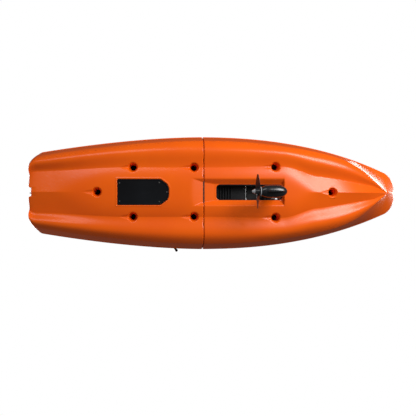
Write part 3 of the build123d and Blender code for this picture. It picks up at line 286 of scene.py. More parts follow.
def under_height(x, y):
    """Moulded bottom skin: the hull's own surface, with the bay's ledge, the drive's trough and the scuppers' mouths.
    The trough is the least of its side, ramp and front slopes, joined to the hull by a smooth maximum."""
    z = bottom_height(x, y)
    bay = bay_distance(x, y)
    z = z + 12 * ease(-bay, -1, 4) - 2.2 * ease(bay, -2, 3) * (1 - ease(bay, 5, 14))
    side = (106 - np.abs(y)) / 43
    ramp, front = np.interp(x, (-94 - 90, -94, -8, 81), (-0.7, 0, 0.66, 1.0)), (613 - x) / 6
    sink = 36 * np.minimum(np.minimum(side, ramp), np.minimum(front, 1.0))
    soft = 4.0
    z = np.where(sink > -20, 0.5 * (z + sink + np.sqrt((z - sink) ** 2 + soft ** 2)), z)
    for place, hand in SCUPPER_PLACES:
        centre = hand * valley_half(np.float64(place))
        from_centre = np.hypot(x - place, y - centre)
        mouth = np.interp(from_centre, (21, 24, 30, 34, 36.5, 40, 44), (62, 48, 22, 6, 2.2, 0.5, 0))
        behind = (place - x) / 104
        width = 30 * np.clip(1 - behind, 0, 1) ** 0.8 + 1e-6
        lead = 13 * np.clip(1 - behind, 0, 1) * ease(1 - np.abs(y - centre) / width, 0, 0.8) * (behind > 0)
        z = z + np.maximum(mouth, np.where(from_centre > 21, lead, 0))
    return z


def deck_height(x, y, at_bow):
    """Moulded deck: level with the gunwale, sunk into round-cornered wells with sloping walls."""
    top = gunwale_height(x)
    z = top
    if at_bow:
        wells = ((-60.0, 850.0, wall_half(x), 150.0, 20.0), (905.0, 1330.0, wall_half(x), 215.0, 28.0),
                 (1385.0, 1490.0, 66.0, 332.0, 14.0))
    else:
        wells = ((-1170.0, -490.0, wall_half(x), 185.0, 28.0), (-440.0, 60.0, wall_half(x), 165.0, 28.0),
                 (-1247.0, -1183.0, 80.0, 268.0, 14.0))
    for low, high, half, bottom, corner in wells:
        reach = box_distance(x, y, low, high, half, corner)
        z = np.minimum(z, bottom + (top - bottom) * ease(reach, -13, 1))
    if at_bow:
        console = 150 + 90 * ease(112 - np.abs(y), -6, 7)
        z = np.where((x < 850) & (console > z), console, z)
    for place, hand in SCUPPER_PLACES:
        from_centre = np.hypot(x - place, y - hand * valley_half(np.float64(place)))
        z = z - np.interp(from_centre, (21, 24, 34), (4, 1.5, 0))
    return z


def end_profile(x_lines, low, high, radius, steps=5):
    """Adds rounded end stations. Returns each station's place and how far its section is drawn in there."""
    angle = np.linspace(0, np.pi / 2, steps + 1)[1:]
    out, drawn = radius * np.sin(angle), radius * (1 - np.cos(angle))
    places = np.concatenate([(low + radius - out)[::-1], x_lines, high - radius + out])
    return places, np.concatenate([drawn[::-1], np.zeros(len(x_lines)), drawn])


def hull_module(name, x_marks, spots, at_bow, edge_radius):
    """One module as a closed skin. Its bottom and deck are two height surfaces over one grid of stations and lines.
    The grid bends into rings round each scupper and round the drive's well, where a wall joins the two surfaces. Rows
    up the flank and over the rolled rim join them outside, and a cap joins them at each end."""
    low, high = (SEAM_HALF, BOW_END) if at_bow else (STERN_END, -SEAM_HALF)
    x_lines = joined(x_marks, 16.0, spots)
    stations, drawn = end_profile(x_lines, low, high, edge_radius)
    X, S = np.meshgrid(stations, shares, indexing="ij")
    inset = np.repeat(drawn[:, None], len(shares), axis=1)
    corner = BOW_CORNER if at_bow else STERN_CORNER
    past = np.maximum(np.abs(stations) - ((BOW_END if at_bow else -STERN_END) - corner), 0)
    trim = gunwale_half(stations) - corner + np.sqrt(np.maximum(corner ** 2 - past ** 2, 0))
    narrow = np.where(past > 0, trim / gunwale_half(stations), 1) * (1 - drawn / 300)

    def across(knots_y):
        """Distance of every line from the keel at every station, by straight runs between the knots' shares."""
        knots = np.stack([np.broadcast_to(k, stations.shape) for k in knots_y], axis=1)
        places = np.array(knot_shares)
        index = np.clip(np.searchsorted(places, np.abs(shares), side="right") - 1, 0, len(places) - 2)
        part = (np.abs(shares) - places[index]) / (places[index + 1] - places[index])
        return np.sign(shares) * (knots[:, index] * (1 - part) + knots[:, index + 1] * part)

    valley = valley_half(stations)
    knot_shares = (0.0, INNER_SHARE, VALLEY_SHARE, 1.0)
    Yb = across((0.0, np.minimum(INNER_Y, 0.6 * valley), valley, chine_half(stations)))
    wall = wall_half(stations)
    deck_valley = np.minimum(valley, 0.8 * (wall - 16))
    knot_shares = (0.0, INNER_SHARE, VALLEY_SHARE, *WALL_SHARES, 1.0)
    Yd = across((0.0, np.minimum(INNER_Y, 0.6 * deck_valley), deck_valley, wall - 16, wall + 8,
                 gunwale_half(stations) - 7))
    Xb, Xd = X.copy(), X.copy()
    holes = []
    for place, hand in SCUPPER_PLACES:
        if (place > 0) != at_bow:
            continue
        centre = (place, float(hand * valley_half(np.float64(place))))
        u, w = X - place, (S - hand * VALLEY_SHARE) / LINE_STEP * RING_STEP
        Xb, Yb = rounded_ring(Xb, Yb, u, w, centre, (0, 0), 45, 80)
        Xd, Yd = rounded_ring(Xd, Yd, u, w, centre, (0, 0), 45, 80)
        i = int(np.argmin(np.abs(stations - place)))
        j = int(np.argmin(np.abs(shares - hand * VALLEY_SHARE)))
        holes.append((i - BORE_RINGS, i + BORE_RINGS, j - BORE_RINGS, j + BORE_RINGS))
    if at_bow:
        from_middle = X - WELL_CORE[0][0]
        Xb, Yb = rounded_ring(Xb, Yb, from_middle, Yb, *WELL_CORE)
        Xd, Yd = rounded_ring(Xd, Yd, from_middle, Yd, *WELL_CORE)
        i0, i1 = (int(np.argmin(np.abs(stations - edge))) for edge in WELL_ENDS)
        j0, j1 = (int(np.argmin(np.abs(shares - edge))) for edge in (-WELL_SHARE, WELL_SHARE))
        holes.append((i0, i1, j0, j1))
    Zb, Zd = under_height(Xb, Yb) + inset, deck_height(Xd, Yd, at_bow) - inset
    Zd = np.maximum(Zd, Zb + 12)
    Yb, Yd = Yb * narrow[:, None], Yd * narrow[:, None]
    edge_half, edge_top = gunwale_half(stations) * narrow, gunwale_height(stations) - drawn
    # The flank runs from the chine to the rolled rim, as shares of the way and offsets from the gunwale.
    rows = []
    for part in FLANK_PARTS:
        bulge = 5 * np.sin(np.pi * part)
        rows.append((Yb[:, -1] + (edge_half - 8 - Yb[:, -1]) * part + bulge,
                     Zb[:, -1] + (edge_top - RIM - 6 - Zb[:, -1]) * part))
    for dy, dz in ((8, RIM + 4), (3.5, RIM + 2), (0.8, RIM - 3), (0, RIM - 9), (0, 9), (1.2, 4), (3.6, 1)):
        rows.append((edge_half - dy, edge_top - dz))
    Yf = np.stack([y for y, _ in rows], axis=1)
    Zf = np.stack([z for _, z in rows], axis=1)
    Xf = np.repeat(stations[:, None], len(rows), axis=1)
    if not at_bow:
        # The transom's middle has an upright groove that clears the rudder.
        for x_set, y_set in ((Xb, Yb), (Xd, Yd)):
            groove = 20 * ease(40 - np.abs(y_set), 0, 12) * ease(-x_set, -STERN_END - 70, -STERN_END)
            x_set += groove
    n, m, k = len(stations), len(shares), len(rows)
    count = n * m
    points = np.concatenate([np.stack(s, axis=-1).reshape(-1, 3) for s in (
        (Xb, Yb, Zb), (Xd, Yd, Zd), (Xf, Yf, Zf), (Xf, -Yf, Zf))])
    grid = np.arange(count).reshape(n, m)

    def quads(lattice):
        """Four-cornered faces between each two rows and columns of point numbers."""
        return np.stack([lattice[:-1, :-1], lattice[1:, :-1], lattice[1:, 1:], lattice[:-1, 1:]], axis=-1)

    keep = np.ones((n - 1, m - 1), bool)
    for i0, i1, j0, j1 in holes:
        keep[i0:i1, j0:j1] = False
    faces = [quads(grid)[keep], quads(grid + count)[keep]]
    for i0, i1, j0, j1 in holes:
        loop = np.concatenate([grid[i0:i1, j0], grid[i1, j0:j1], grid[i1:i0:-1, j1], grid[i0, j1:j0:-1]])
        after = np.roll(loop, -1)
        faces.append(np.stack([loop, after, after + count, loop + count], axis=1))
    for side, column in ((0, m - 1), (1, 0)):
        flank = 2 * count + side * n * k + np.arange(n * k).reshape(n, k)
        lattice = np.concatenate([grid[:, [column]], flank, grid[:, [column]] + count], axis=1)
        faces.append(quads(lattice).reshape(-1, 4))
    faces = np.concatenate([f.reshape(-1, 4) for f in faces]).tolist()
    for i in (0, n - 1):
        cap = [grid[i, :-1], grid[i, 1:], grid[i, 1:] + count, grid[i, :-1] + count]
        faces += np.stack(cap, axis=1).tolist()
        for side, column in ((0, m - 1), (1, 0)):
            flank = 2 * count + side * n * k + np.arange(n * k).reshape(n, k)[i]
            faces.append([int(grid[i, column])] + flank.tolist() + [int(grid[i, column] + count)])
    return finished_mesh(name, points / 1000, faces, 100)


def finished_mesh(name, points, faces, angle=40):
    """Makes an object from points and faces: recalculates its normals and smooths edges that turn less than angle."""
    mesh = bpy.data.meshes.new(name)
    mesh.from_pydata(np.asarray(points, float).tolist(), [], faces if isinstance(faces, list) else faces.tolist())
    shape = bmesh.new()
    shape.from_mesh(mesh)
    bmesh.ops.recalc_face_normals(shape, faces=shape.faces)
    shape.to_mesh(mesh)
    shape.free()
    mesh.polygons.foreach_set("use_smooth", np.ones(len(mesh.polygons), bool))
    mesh.set_sharp_from_angle(angle=np.radians(angle))
    piece = bpy.data.objects.new(name, mesh)
    bpy.context.collection.objects.link(piece)
    return piece


stern_marks = [np.array([STERN_END + 6])] + [rings_at(p, RING_STEP) for p in (-804.0, -537.0, -75.0)] + [
    np.array([-SEAM_HALF - 6])]
stern_spots = [(-1300, 14, 4), (-1245, 10, 5), (-1185, 10, 5), (-1166, 10, 4), (-652, 6, 3.5), (-300, 34, 5),
               (-493, 9, 4), (-437, 9, 4), (-10, 10, 5)]
stern_skin = hull_module("stern_module", stern_marks, stern_spots, False, 6)
bow_marks = [np.array([SEAM_HALF + 6]), np.array([95.0]), rings_at(549.0, RING_STEP), np.array([606.0]),
             rings_at(990.0, RING_STEP), np.array([BOW_END - 6])]
bow_spots = [(95, 30, 4), (606, 12, 2.5), (846, 10, 4), (909, 9, 4), (1326, 10, 4), (1389, 9, 4), (1486, 9, 4),
             (1568, 26, 4), (10, 8, 5)]
bow_skin = hull_module("bow_module", bow_marks, bow_spots, True, 6)


def effect_group(name, inputs, outputs):
    """A node group for a surface effect, with its inputs and outputs named. Returns its tree and its two end nodes."""
    tree = bpy.data.node_groups.new(name, "ShaderNodeTree")
    for way, sockets in (("INPUT", inputs), ("OUTPUT", outputs)):
        for socket, kind in sockets.items():
            tree.interface.new_socket(socket, in_out=way, socket_type="NodeSocket" + kind)
    return tree, tree.nodes.new("NodeGroupInput"), tree.nodes.new("NodeGroupOutput")


def mixed(tree, share, first, second):
    """Mixes two colours by a share and gives the result's socket."""
    return place(tree, "Mix", {"Factor": share, 6: first, 7: second}, data_type="RGBA").outputs[2]


def combined(tree, operation, *values):
    """A Math node on two or three values. Gives the result's socket."""
    return place(tree, "Math", enumerate(values), operation=operation).outputs[0]


def noise(tree, vector, scale, detail, **values):
    """A noise texture's factor at a vector."""
    return place(tree, "TexNoise", {"Vector": vector, "Scale": scale, "Detail": detail, **values}).outputs["Fac"]


def put_out(tree, out, colour, roughness, normal):
    """Links a surface effect's three results to its group's output."""
    for socket, value in (("Colour", colour), ("Roughness", roughness), ("Normal", normal)):
        tree.links.new(value, out.inputs[socket])


def spread(tree, value, low, high, to_low=0.0, to_high=1.0):
    """Maps a value from one range to another, held inside it."""
    return place(tree, "MapRange", {"Value": value, "From Min": low, "From Max": high, "To Min": to_low,
                                    "To Max": to_high}).outputs[0]


def moulded_effect():
    """Moulded plastic: its colour drifts slowly towards its shade, fine grain lifts the surface, and long faint rubs
    run fore and aft, which are paler and duller."""
    tree, given, out = effect_group("moulded_surface", {
        "Colour": "Color", "Shade": "Color", "Rub colour": "Color", "Grain size": "Float", "Grain depth": "Float",
        "Roughness": "Float", "Rubs": "Float"}, {"Colour": "Color", "Roughness": "Float", "Normal": "Vector"})
    spot = place(tree, "TexCoord").outputs["Object"]
    drift = noise(tree, spot, 2.6, 3.0)
    grain = noise(tree, spot, given.outputs["Grain size"], 2.0)
    along = place(tree, "Mapping", {"Vector": spot, "Scale": (7.0, 170.0, 120.0)}).outputs[0]
    lines = noise(tree, along, 1.0, 4.0, Distortion=0.4)
    patches = noise(tree, spot, 5.5, 2.0)
    rubs = combined(tree, "MULTIPLY", spread(tree, lines, 0.60, 0.74), spread(tree, patches, 0.50, 0.68))
    rubs = combined(tree, "MULTIPLY", rubs, given.outputs["Rubs"])
    colour = mixed(tree, spread(tree, drift, 0.35, 0.65), given.outputs["Colour"], given.outputs["Shade"])
    colour = mixed(tree, rubs, colour, given.outputs["Rub colour"])
    duller = combined(tree, "MULTIPLY_ADD", rubs, 0.22, given.outputs["Roughness"])
    uneven = combined(tree, "MULTIPLY_ADD", drift, 0.07, duller)
    bump = place(tree, "Bump", {"Strength": given.outputs["Grain depth"], "Distance": 0.0006, "Height": grain})
    put_out(tree, out, colour, uneven, bump.outputs[0])
    return tree


moulded_surface = moulded_effect()


def finish(name, effect, given, **fixed):
    """A Principled material whose colour, roughness and normal come from an effect group, and whose other settings are
    numbers on the shader itself."""
    material, tree = new_material(name)
    group = place(tree, "Group", node_tree=effect)
    for socket, value in given.items():
        group.inputs[socket].default_value = value
    values = {"Base Color": group.outputs["Colour"], "Roughness": group.outputs["Roughness"],
              "Normal": group.outputs["Normal"]}
    values.update({key.replace("_", " "): value for key, value in fixed.items()})
    shader = place(tree, "BsdfPrincipled", values)
    place(tree, "OutputMaterial", {"Surface": shader.outputs[0]})
    return material


def plastic(name, colour, shade, rub, size, depth, roughness, rubs, **fixed):
    """A moulded plastic or rubber, with its grain's fineness and depth, its roughness and how rubbed it is."""
    return finish(name, moulded_surface, {
        "Colour": (*colour, 1), "Shade": (*shade, 1), "Rub colour": (*rub, 1), "Grain size": size,
        "Grain depth": depth, "Roughness": roughness, "Rubs": rubs}, **fixed)


finishes = {"hull_plastic": plastic("orange_hull", (0.86, 0.118, 0.0015), (0.81, 0.102, 0.0015), (0.90, 0.17, 0.02),
                                    420, 0.10, 0.25, 0.3, Specular_IOR_Level=0.36, Coat_Weight=0.06,
                                    Coat_Roughness=0.12)}
for skin, node in ((stern_skin, "stern_hull"), (bow_skin, "bow_hull")):
    skin.data.materials.append(finishes["hull_plastic"])
    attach(skin, "hull")
    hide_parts(node)

# ------------------------------------------------------------ the fittings that keep their moulded and cut shapes
# Black glass-filled nylon, rubber, stainless steel, anodised aluminium and brass parts are screwed or bolted to the
# hull, the seat and the drive. Each takes its own finish, by what it is made of.


def metal_effect():
    """Worked metal: fine lines of brushing along X, cloudy tarnish, and small pits."""
    tree, given, out = effect_group("worked_metal", {"Colour": "Color", "Tarnish": "Color", "Roughness": "Float"},
                                    {"Colour": "Color", "Roughness": "Float", "Normal": "Vector"})
    spot = place(tree, "TexCoord").outputs["Object"]
    along = place(tree, "Mapping", {"Vector": spot, "Scale": (40.0, 1400.0, 1400.0)}).outputs[0]
    lines = noise(tree, along, 1.0, 3.0)
    cloud = noise(tree, spot, 24.0, 5.0)
    colour = mixed(tree, spread(tree, cloud, 0.45, 0.72), given.outputs["Colour"], given.outputs["Tarnish"])
    rough = combined(tree, "MULTIPLY_ADD", lines, 0.18, given.outputs["Roughness"])
    bump = place(tree, "Bump", {"Strength": 0.12, "Distance": 0.0002, "Height": lines})
    put_out(tree, out, colour, rough, bump.outputs[0])
    return tree


def cloth_effect():
    """Coarse outdoor cloth: over-and-under threads across Y and along X plus Z, flecks of a paler thread, and faint
    fading. The threads' height is a product of two sines."""
    tree, given, out = effect_group("woven_cloth", {"Colour": "Color", "Fleck": "Color", "Threads": "Float"},
                                    {"Colour": "Color", "Roughness": "Float", "Normal": "Vector"})
    spot = place(tree, "TexCoord").outputs["Object"]
    axes = place(tree, "SeparateXYZ", {0: spot})
    waves = []
    for socket in (combined(tree, "ADD", axes.outputs["X"], axes.outputs["Z"]), axes.outputs["Y"]):
        waves.append(combined(tree, "SINE", combined(tree, "MULTIPLY", socket, given.outputs["Threads"])))
    weave = combined(tree, "MULTIPLY", waves[0], waves[1])
    fleck = noise(tree, spot, 900.0, 1.0)
    fade = noise(tree, spot, 9.0, 3.0)
    # Partly painted highlight: the mix follows the threads' height, so every crown is paler than the hollows beside it
    # by at least 15% towards the fleck colour. The flecks of paler thread are the cloth's own and show fully on the
    # crowns.
    shade = combined(tree, "MULTIPLY", spread(tree, weave, -1, 1), spread(tree, fleck, 0.5, 0.75, 0.15, 1.0))
    colour = mixed(tree, shade, given.outputs["Colour"], given.outputs["Fleck"])
    colour = mixed(tree, spread(tree, fade, 0.45, 0.9, 0.0, 0.35), colour, given.outputs["Fleck"])
    bump = place(tree, "Bump", {"Strength": 0.5, "Distance": 0.0005, "Height": weave})
    put_out(tree, out, colour, spread(tree, weave, -1, 1, 0.95, 0.78), bump.outputs[0])
    return tree


worked_metal, woven_cloth = metal_effect(), cloth_effect()


def metal(name, colour, tarnish, roughness, **fixed):
    """A bare or anodised metal."""
    return finish(name, worked_metal, {"Colour": (*colour, 1), "Tarnish": (*tarnish, 1), "Roughness": roughness},
                  Metallic=1.0, **fixed)


finishes.update({
    "black_plastic": plastic("black_nylon", (0.009, 0.009, 0.010), (0.014, 0.014, 0.015), (0.05, 0.05, 0.05), 1500,
                             0.4, 0.34, 0.5, Specular_IOR_Level=0.3),
    "cover_plastic": plastic("cover_nylon", (0.005, 0.005, 0.006), (0.008, 0.009, 0.011), (0.03, 0.033, 0.04), 1300,
                             0.4, 0.26, 0.4, Specular_IOR_Level=0.22),
    "black_rubber": plastic("black_rubber", (0.009, 0.009, 0.009), (0.015, 0.014, 0.014), (0.05, 0.047, 0.043), 1900,
                            0.35, 0.60, 0.5, Specular_IOR_Level=0.2),
    "foam": plastic("closed_cell_foam", (0.020, 0.019, 0.019), (0.034, 0.031, 0.030), (0.06, 0.05, 0.05), 700, 0.9,
                    0.88, 0.2),
    "drive_plastic": plastic("drive_nylon", (0.010, 0.010, 0.011), (0.016, 0.016, 0.018), (0.06, 0.06, 0.065), 1100,
                             0.25, 0.24, 0.6, Coat_Weight=0.3, Coat_Roughness=0.12),
    "collar_plastic": plastic("grey_acetal", (0.36, 0.37, 0.38), (0.30, 0.31, 0.32), (0.5, 0.5, 0.5), 1200, 0.15,
                              0.30, 0.3),
    "gear_plastic": plastic("white_acetal", (0.72, 0.70, 0.62), (0.62, 0.60, 0.52), (0.30, 0.27, 0.20), 900, 0.15,
                            0.36, 0.7),
    "steel": metal("stainless_steel", (0.58, 0.57, 0.55), (0.42, 0.40, 0.37), 0.22),
    "aluminium": metal("clear_anodised_aluminium", (0.62, 0.63, 0.64), (0.50, 0.51, 0.52), 0.30),
    "dark_aluminium": metal("black_anodised_aluminium", (0.035, 0.036, 0.040), (0.06, 0.06, 0.065), 0.34),
    "brass": metal("bearing_brass", (0.72, 0.52, 0.22), (0.45, 0.30, 0.12), 0.28),
    "fabric": finish("seat_cloth", woven_cloth, {
        "Colour": (0.016, 0.017, 0.020, 1), "Fleck": (0.085, 0.088, 0.095, 1), "Threads": 2600.0},
                     Sheen_Weight=0.25, Sheen_Roughness=0.5),
    "cord": finish("braided_cord", woven_cloth, {"Colour": (0.010, 0.010, 0.011, 1), "Fleck": (0.20, 0.06, 0.02, 1),
                                                 "Threads": 2200.0}),
})
material_of = {part["node"]: part["material_slot"] for part in frame["record"]["subparts"]}
for node, shape in frame["nodes"].items():
    if not shape.material_slots:
        shape.data.materials.append(None)
    for place_for in shape.material_slots:
        place_for.material = finishes[material_of[node]]

# ------------------------------------------------------------ the bay cover
# A black glass-filled nylon plate closes the bay under the stern module. It is injection moulded with a raised lip
# round a slightly crowned field, and lies 2 mm inside the hull's bottom.
COVER_OUTLINE = ((-652.0, -96.5), (-330.0, -96.5), (-279.0, -58.5), (-266.0, -34.0), (-266.0, 34.0), (-279.0, 58.5),
                 (-330.0, 96.5), (-652.0, 96.5))
COVER_FIELD, COVER_CROWN = 4.9, 1.4


def softened(corners, radius, steps):
    """A closed outline with round corners: each corner becomes the quadratic curve between the two points that lie
    radius away from it."""
    corners = np.array(corners, float)
    before, after = np.roll(corners, 1, axis=0) - corners, np.roll(corners, -1, axis=0) - corners
    start = corners + before / np.linalg.norm(before, axis=1)[:, None] * radius
    stop = corners + after / np.linalg.norm(after, axis=1)[:, None] * radius
    t = np.linspace(0, 1, steps)[None, :, None]
    curve = (1 - t) ** 2 * start[:, None] + 2 * t * (1 - t) * corners[:, None] + t ** 2 * stop[:, None]
    return curve.reshape(-1, 2)


def lattice_faces(rows, columns, wrap, start=0):
    """Four-cornered faces of a grid of points, joined round across its columns where wrap is true."""
    grid = start + np.arange(rows * columns).reshape(rows, columns)
    if wrap:
        grid = np.concatenate([grid, grid[:, :1]], axis=1)
    return np.stack([grid[:-1, :-1], grid[1:, :-1], grid[1:, 1:], grid[:-1, 1:]], axis=-1).reshape(-1, 4)


outline = softened(COVER_OUTLINE, 12.0, 7)
ring_middle = np.array([-BAY_MIDDLE, 0.0])
reach = np.linalg.norm(outline - ring_middle, axis=1, keepdims=True)
insets, depths = [], []
for inset, depth in ((0, 11.8), (0, 3.6), (1.2, 2.2), (5.0, 1.6), (8.5, 1.7), (10.0, 3.0), (11.5, 4.6),
                     (16, COVER_FIELD)):
    insets.append(ring_middle + (outline - ring_middle) * (1 - inset / reach))
    depths.append(np.full(len(outline), depth))
base_ring = insets[-1]
for share in np.linspace(0.94, 0.0, 16):
    insets.append(ring_middle + (base_ring - ring_middle) * share)
    depths.append(np.full(len(outline), COVER_FIELD - COVER_CROWN * (1 - share ** 2)))
points = np.column_stack([np.concatenate(insets), np.concatenate(depths)])
cover = finished_mesh("cover_plate", points / 1000, lattice_faces(len(insets), len(outline), True).tolist()
                      + [list(range(len(outline) - 1, -1, -1))], 32)
cover.data.materials.append(finishes["cover_plastic"])
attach(cover, "hull")
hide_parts("bay_cover")

# ------------------------------------------------------------ the drive's housing
# The pedal drive's housing is two glossy black mouldings screwed together along their middle plane: a drum for the
# cranks, a streamlined column through the hull and a pod for the propeller's gears.
DRIVE_X, PIVOT_Z, CRANK_Z, PROP_Z = 520.0, 268.0, 475.0, -210.0
POD_AROUND, COLUMN_AROUND, DRUM_AROUND, BOSS_AROUND = 64, 72, 96, 48
COLUMN_HALF_LENGTH, COLUMN_HALF_WIDTH = 45.0, 19.0
GROOVE_DEPTH, GROOVE_HALF = 0.9, 1.3


def turned(profile, around):
    """Turns a profile of (distance along the X axis, radius) pairs round that axis. Each ring has around points."""
    profile = np.array(profile, float)
    angle = np.linspace(0, 2 * np.pi, around, endpoint=False)
    points = np.stack([np.repeat(profile[:, :1], around, axis=1), profile[:, 1:] * np.cos(angle),
                       profile[:, 1:] * np.sin(angle)], axis=-1)
    return points.reshape(-1, 3)


def smooth_profile(knots, steps):
    """A smooth run through a profile's knots: a cubic through each knot with the slope of its neighbours' chord."""
    knots = np.array(knots, float)
    slope = np.gradient(knots, axis=0)
    t = np.linspace(0, 1, steps, endpoint=False)[None, :, None]
    a, b, u, v = knots[:-1, None], knots[1:, None], slope[:-1, None], slope[1:, None]
    run = (a * (2 * t ** 3 - 3 * t ** 2 + 1) + u * (t ** 3 - 2 * t ** 2 + t) + b * (3 * t ** 2 - 2 * t ** 3)
           + v * (t ** 3 - t ** 2))
    return np.concatenate([run.reshape(-1, knots.shape[1]), knots[-1:]])


def joint_line(points):
    """Draws points near the middle plane towards the column's own middle line, by a bell curve of their distance from
    the plane, as a fine groove."""
    pull = GROOVE_DEPTH * np.exp(-(points[:, 1] / GROOVE_HALF) ** 2)
    points[:, 0] -= np.sign(points[:, 0] - DRIVE_X) * pull
    return points


pod_profile = [(403.0, 0.0), (403.0, 25.0), (403.6, 28.0), (406.0, 30.2)] + smooth_profile(
    [(412, 33.5), (430, 41), (455, 45.2), (482, 46), (512, 45.6), (540, 42.5), (565, 35.5), (581, 25.5), (590, 14.5),
     (593.4, 5)], 4).tolist() + [(594.0, 0.0)]
pod = turned(pod_profile, POD_AROUND)
pod[:, 2] += PROP_Z
# The column's section is an ellipse that sharpens aft; it flares into the pod below and into the drum above.
levels = np.concatenate([np.linspace(PROP_Z, PROP_Z + 90, 16), np.linspace(PROP_Z + 104, 372, 26),
                         np.linspace(380, 440, 10)])
turn = np.linspace(0, 2 * np.pi, COLUMN_AROUND, endpoint=False)
near_pod = np.clip(1 - (levels - PROP_Z - 22) / 62, 0, 1) ** 2
near_drum = np.clip((levels - 372) / 60, 0, 1) ** 2
flare = 1 + 0.55 * near_pod + 0.22 * near_drum
thick = 1 + 0.9 * near_pod + 0.8 * near_drum
ahead = np.sign(np.cos(turn)) * np.abs(np.cos(turn)) ** 0.92
column = np.stack([DRIVE_X + COLUMN_HALF_LENGTH * flare[:, None] * ahead,
                   COLUMN_HALF_WIDTH * thick[:, None] * np.sin(turn) * (
                       1 - 0.10 * (np.cos(turn) < 0) * np.cos(turn) ** 2),
                   np.repeat(levels[:, None], len(turn), axis=1)], axis=-1).reshape(-1, 3)
drum_profile = [(-42.0, 0.0), (-42.0, 14.0), (-42.0, 50.0), (-41.0, 56.0), (-38.5, 58.0), (-38.5, 66.0), (-36.5, 71.0),
                (-32, 75.0), (-26, 77.3), (-18, 78.0), (18, 78.0), (26, 77.3), (32, 75.0), (36.5, 71.0), (38.5, 66.0),
                (38.5, 58.0), (41.0, 56.0), (42.0, 50.0), (42.0, 14.0), (42.0, 0.0)]
drum = turned(drum_profile, DRUM_AROUND)
drum_top = 74.5 - np.abs(drum[:, 0]) * 0.02
drum = np.column_stack([DRIVE_X + drum[:, 1], drum[:, 0], CRANK_Z + np.minimum(drum[:, 2], drum_top)])
boss_profile = [(-43, 0), (-43, 20), (-41, 23.2), (-39, 24), (39, 24), (41, 23.2), (43, 20), (43, 0)]
boss = turned(boss_profile, BOSS_AROUND)
boss = np.column_stack([DRIVE_X + boss[:, 1], boss[:, 0], PIVOT_Z + boss[:, 2]])
housing_points, housing_faces = [], []
for shape, around in ((pod, POD_AROUND), (joint_line(column), COLUMN_AROUND), (drum, DRUM_AROUND),
                      (boss, BOSS_AROUND)):
    start = sum(len(p) for p in housing_points)
    housing_faces += lattice_faces(len(shape) // around, around, True, start).tolist()
    housing_points.append(shape)
housing = finished_mesh("drive_housing", np.concatenate(housing_points) / 1000, housing_faces, 35)
housing.data.materials.append(finishes["drive_plastic"])
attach(housing, "drive")
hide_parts("drive_housing_port", "drive_housing_starboard")

# ------------------------------------------------------------ the well's skirt
# A black rubber flap on the column closes the top of the drive's well, so that spray stays below. It is moulded with
# lengthwise ribs and a curled aft edge, and swings up with the column.
SKIRT_UNDER, SKIRT_OVER, RIB_PITCH = 124.5, 129.0, 15.0
run = np.linspace(333.0, 597.0, 60)
side = np.linspace(-1, 1, 53)
R, T = np.meshgrid(run, side, indexing="ij")
half = 53.0 - 9.5 * ease(R, 478, 484)
half = half * np.sqrt(np.clip(1 - np.clip((341 - R) / 14, 0, 1) ** 2, 0.02, 1))
rib = 1.8 * ease(np.abs(np.sin(T * half * np.pi / RIB_PITCH)), 0.8, 0.96) * ease(R, 336, 350)
curl = 3.5 * np.clip((345 - R) / 12, 0, 1) ** 2
under = np.stack([R, T * half, SKIRT_UNDER - rib + curl], axis=-1).reshape(-1, 3)
over = np.stack([R, T * half, SKIRT_OVER + curl], axis=-1).reshape(-1, 3)
rows, columns = R.shape
grid = np.arange(rows * columns).reshape(rows, columns)
edge = np.concatenate([grid[:-1, 0], grid[-1, :-1], grid[:0:-1, -1], grid[0, :0:-1]])
skirt_faces = np.concatenate([lattice_faces(rows, columns, False),
                              lattice_faces(rows, columns, False, rows * columns),
                              np.stack([edge, np.roll(edge, -1), np.roll(edge, -1) + rows * columns,
                                        edge + rows * columns], axis=1)])
skirt = finished_mesh("well_skirt", np.concatenate([under, over]) / 1000, skirt_faces.tolist(), 40)
skirt.data.materials.append(finishes["black_rubber"])
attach(skirt, "drive")

# ------------------------------------------------------------ the seat's two cushions
# Each cushion is a foam-filled bag of coarse dark cloth with sewn channels across it and a corded seam round its edge.
# The seat's lies on the frame's rails, and the back's is laced inside the hinged back frame.
LEAN = np.radians(12.0)
CUSHIONS = {
    "seat_cushion": ("hull", (1.0, 0.0, 0.0), (0.0, 1.0, 0.0), (0.0, 0.0, 1.0), (0.159, 0.172, 0.016), 0.052),
    "back_cushion": ("seat_back", (-np.sin(LEAN), 0.0, np.cos(LEAN)), (0.0, 1.0, 0.0),
                     (np.cos(LEAN), 0.0, np.sin(LEAN)), (0.139, 0.180, 0.016), 0.056),
}
VOXEL, SWELL_CAP, PIPING_RADIUS, BELT_BINS = 0.005, 0.009, 0.0032, 180


def signed_power(value, power):
    """A power of a value's size, with the value's sign."""
    return np.sign(value) * np.abs(value) ** power


def bag_form(half, around=120, rows=41):
    """A crowned closed pad: a rounded-square outline whose sides pull in 2% between the corners, shrunk towards top
    and bottom as a small power of a cosine while its height grows as a power of the sine."""
    turn = np.linspace(0, 2 * np.pi, around, endpoint=False)
    tilt = np.linspace(-np.pi / 2, np.pi / 2, rows)
    waist = 1 - 0.02 * np.cos(2 * turn) ** 2
    reach = np.abs(np.cos(tilt))[:, None] ** 0.30
    u = half[0] * reach * signed_power(np.cos(turn), 0.30) * waist
    v = half[1] * reach * signed_power(np.sin(turn), 0.30) * waist
    w = np.repeat(half[2] * signed_power(np.sin(tilt), 0.75)[:, None], around, axis=1)
    return np.stack([u, v, w], axis=-1).reshape(-1, 3), lattice_faces(rows, around, True)


def vertex_places(mesh):
    """A mesh's points as an array with one row each."""
    places = np.zeros(len(mesh.vertices) * 3)
    mesh.vertices.foreach_get("co", places)
    return places.reshape(-1, 3)


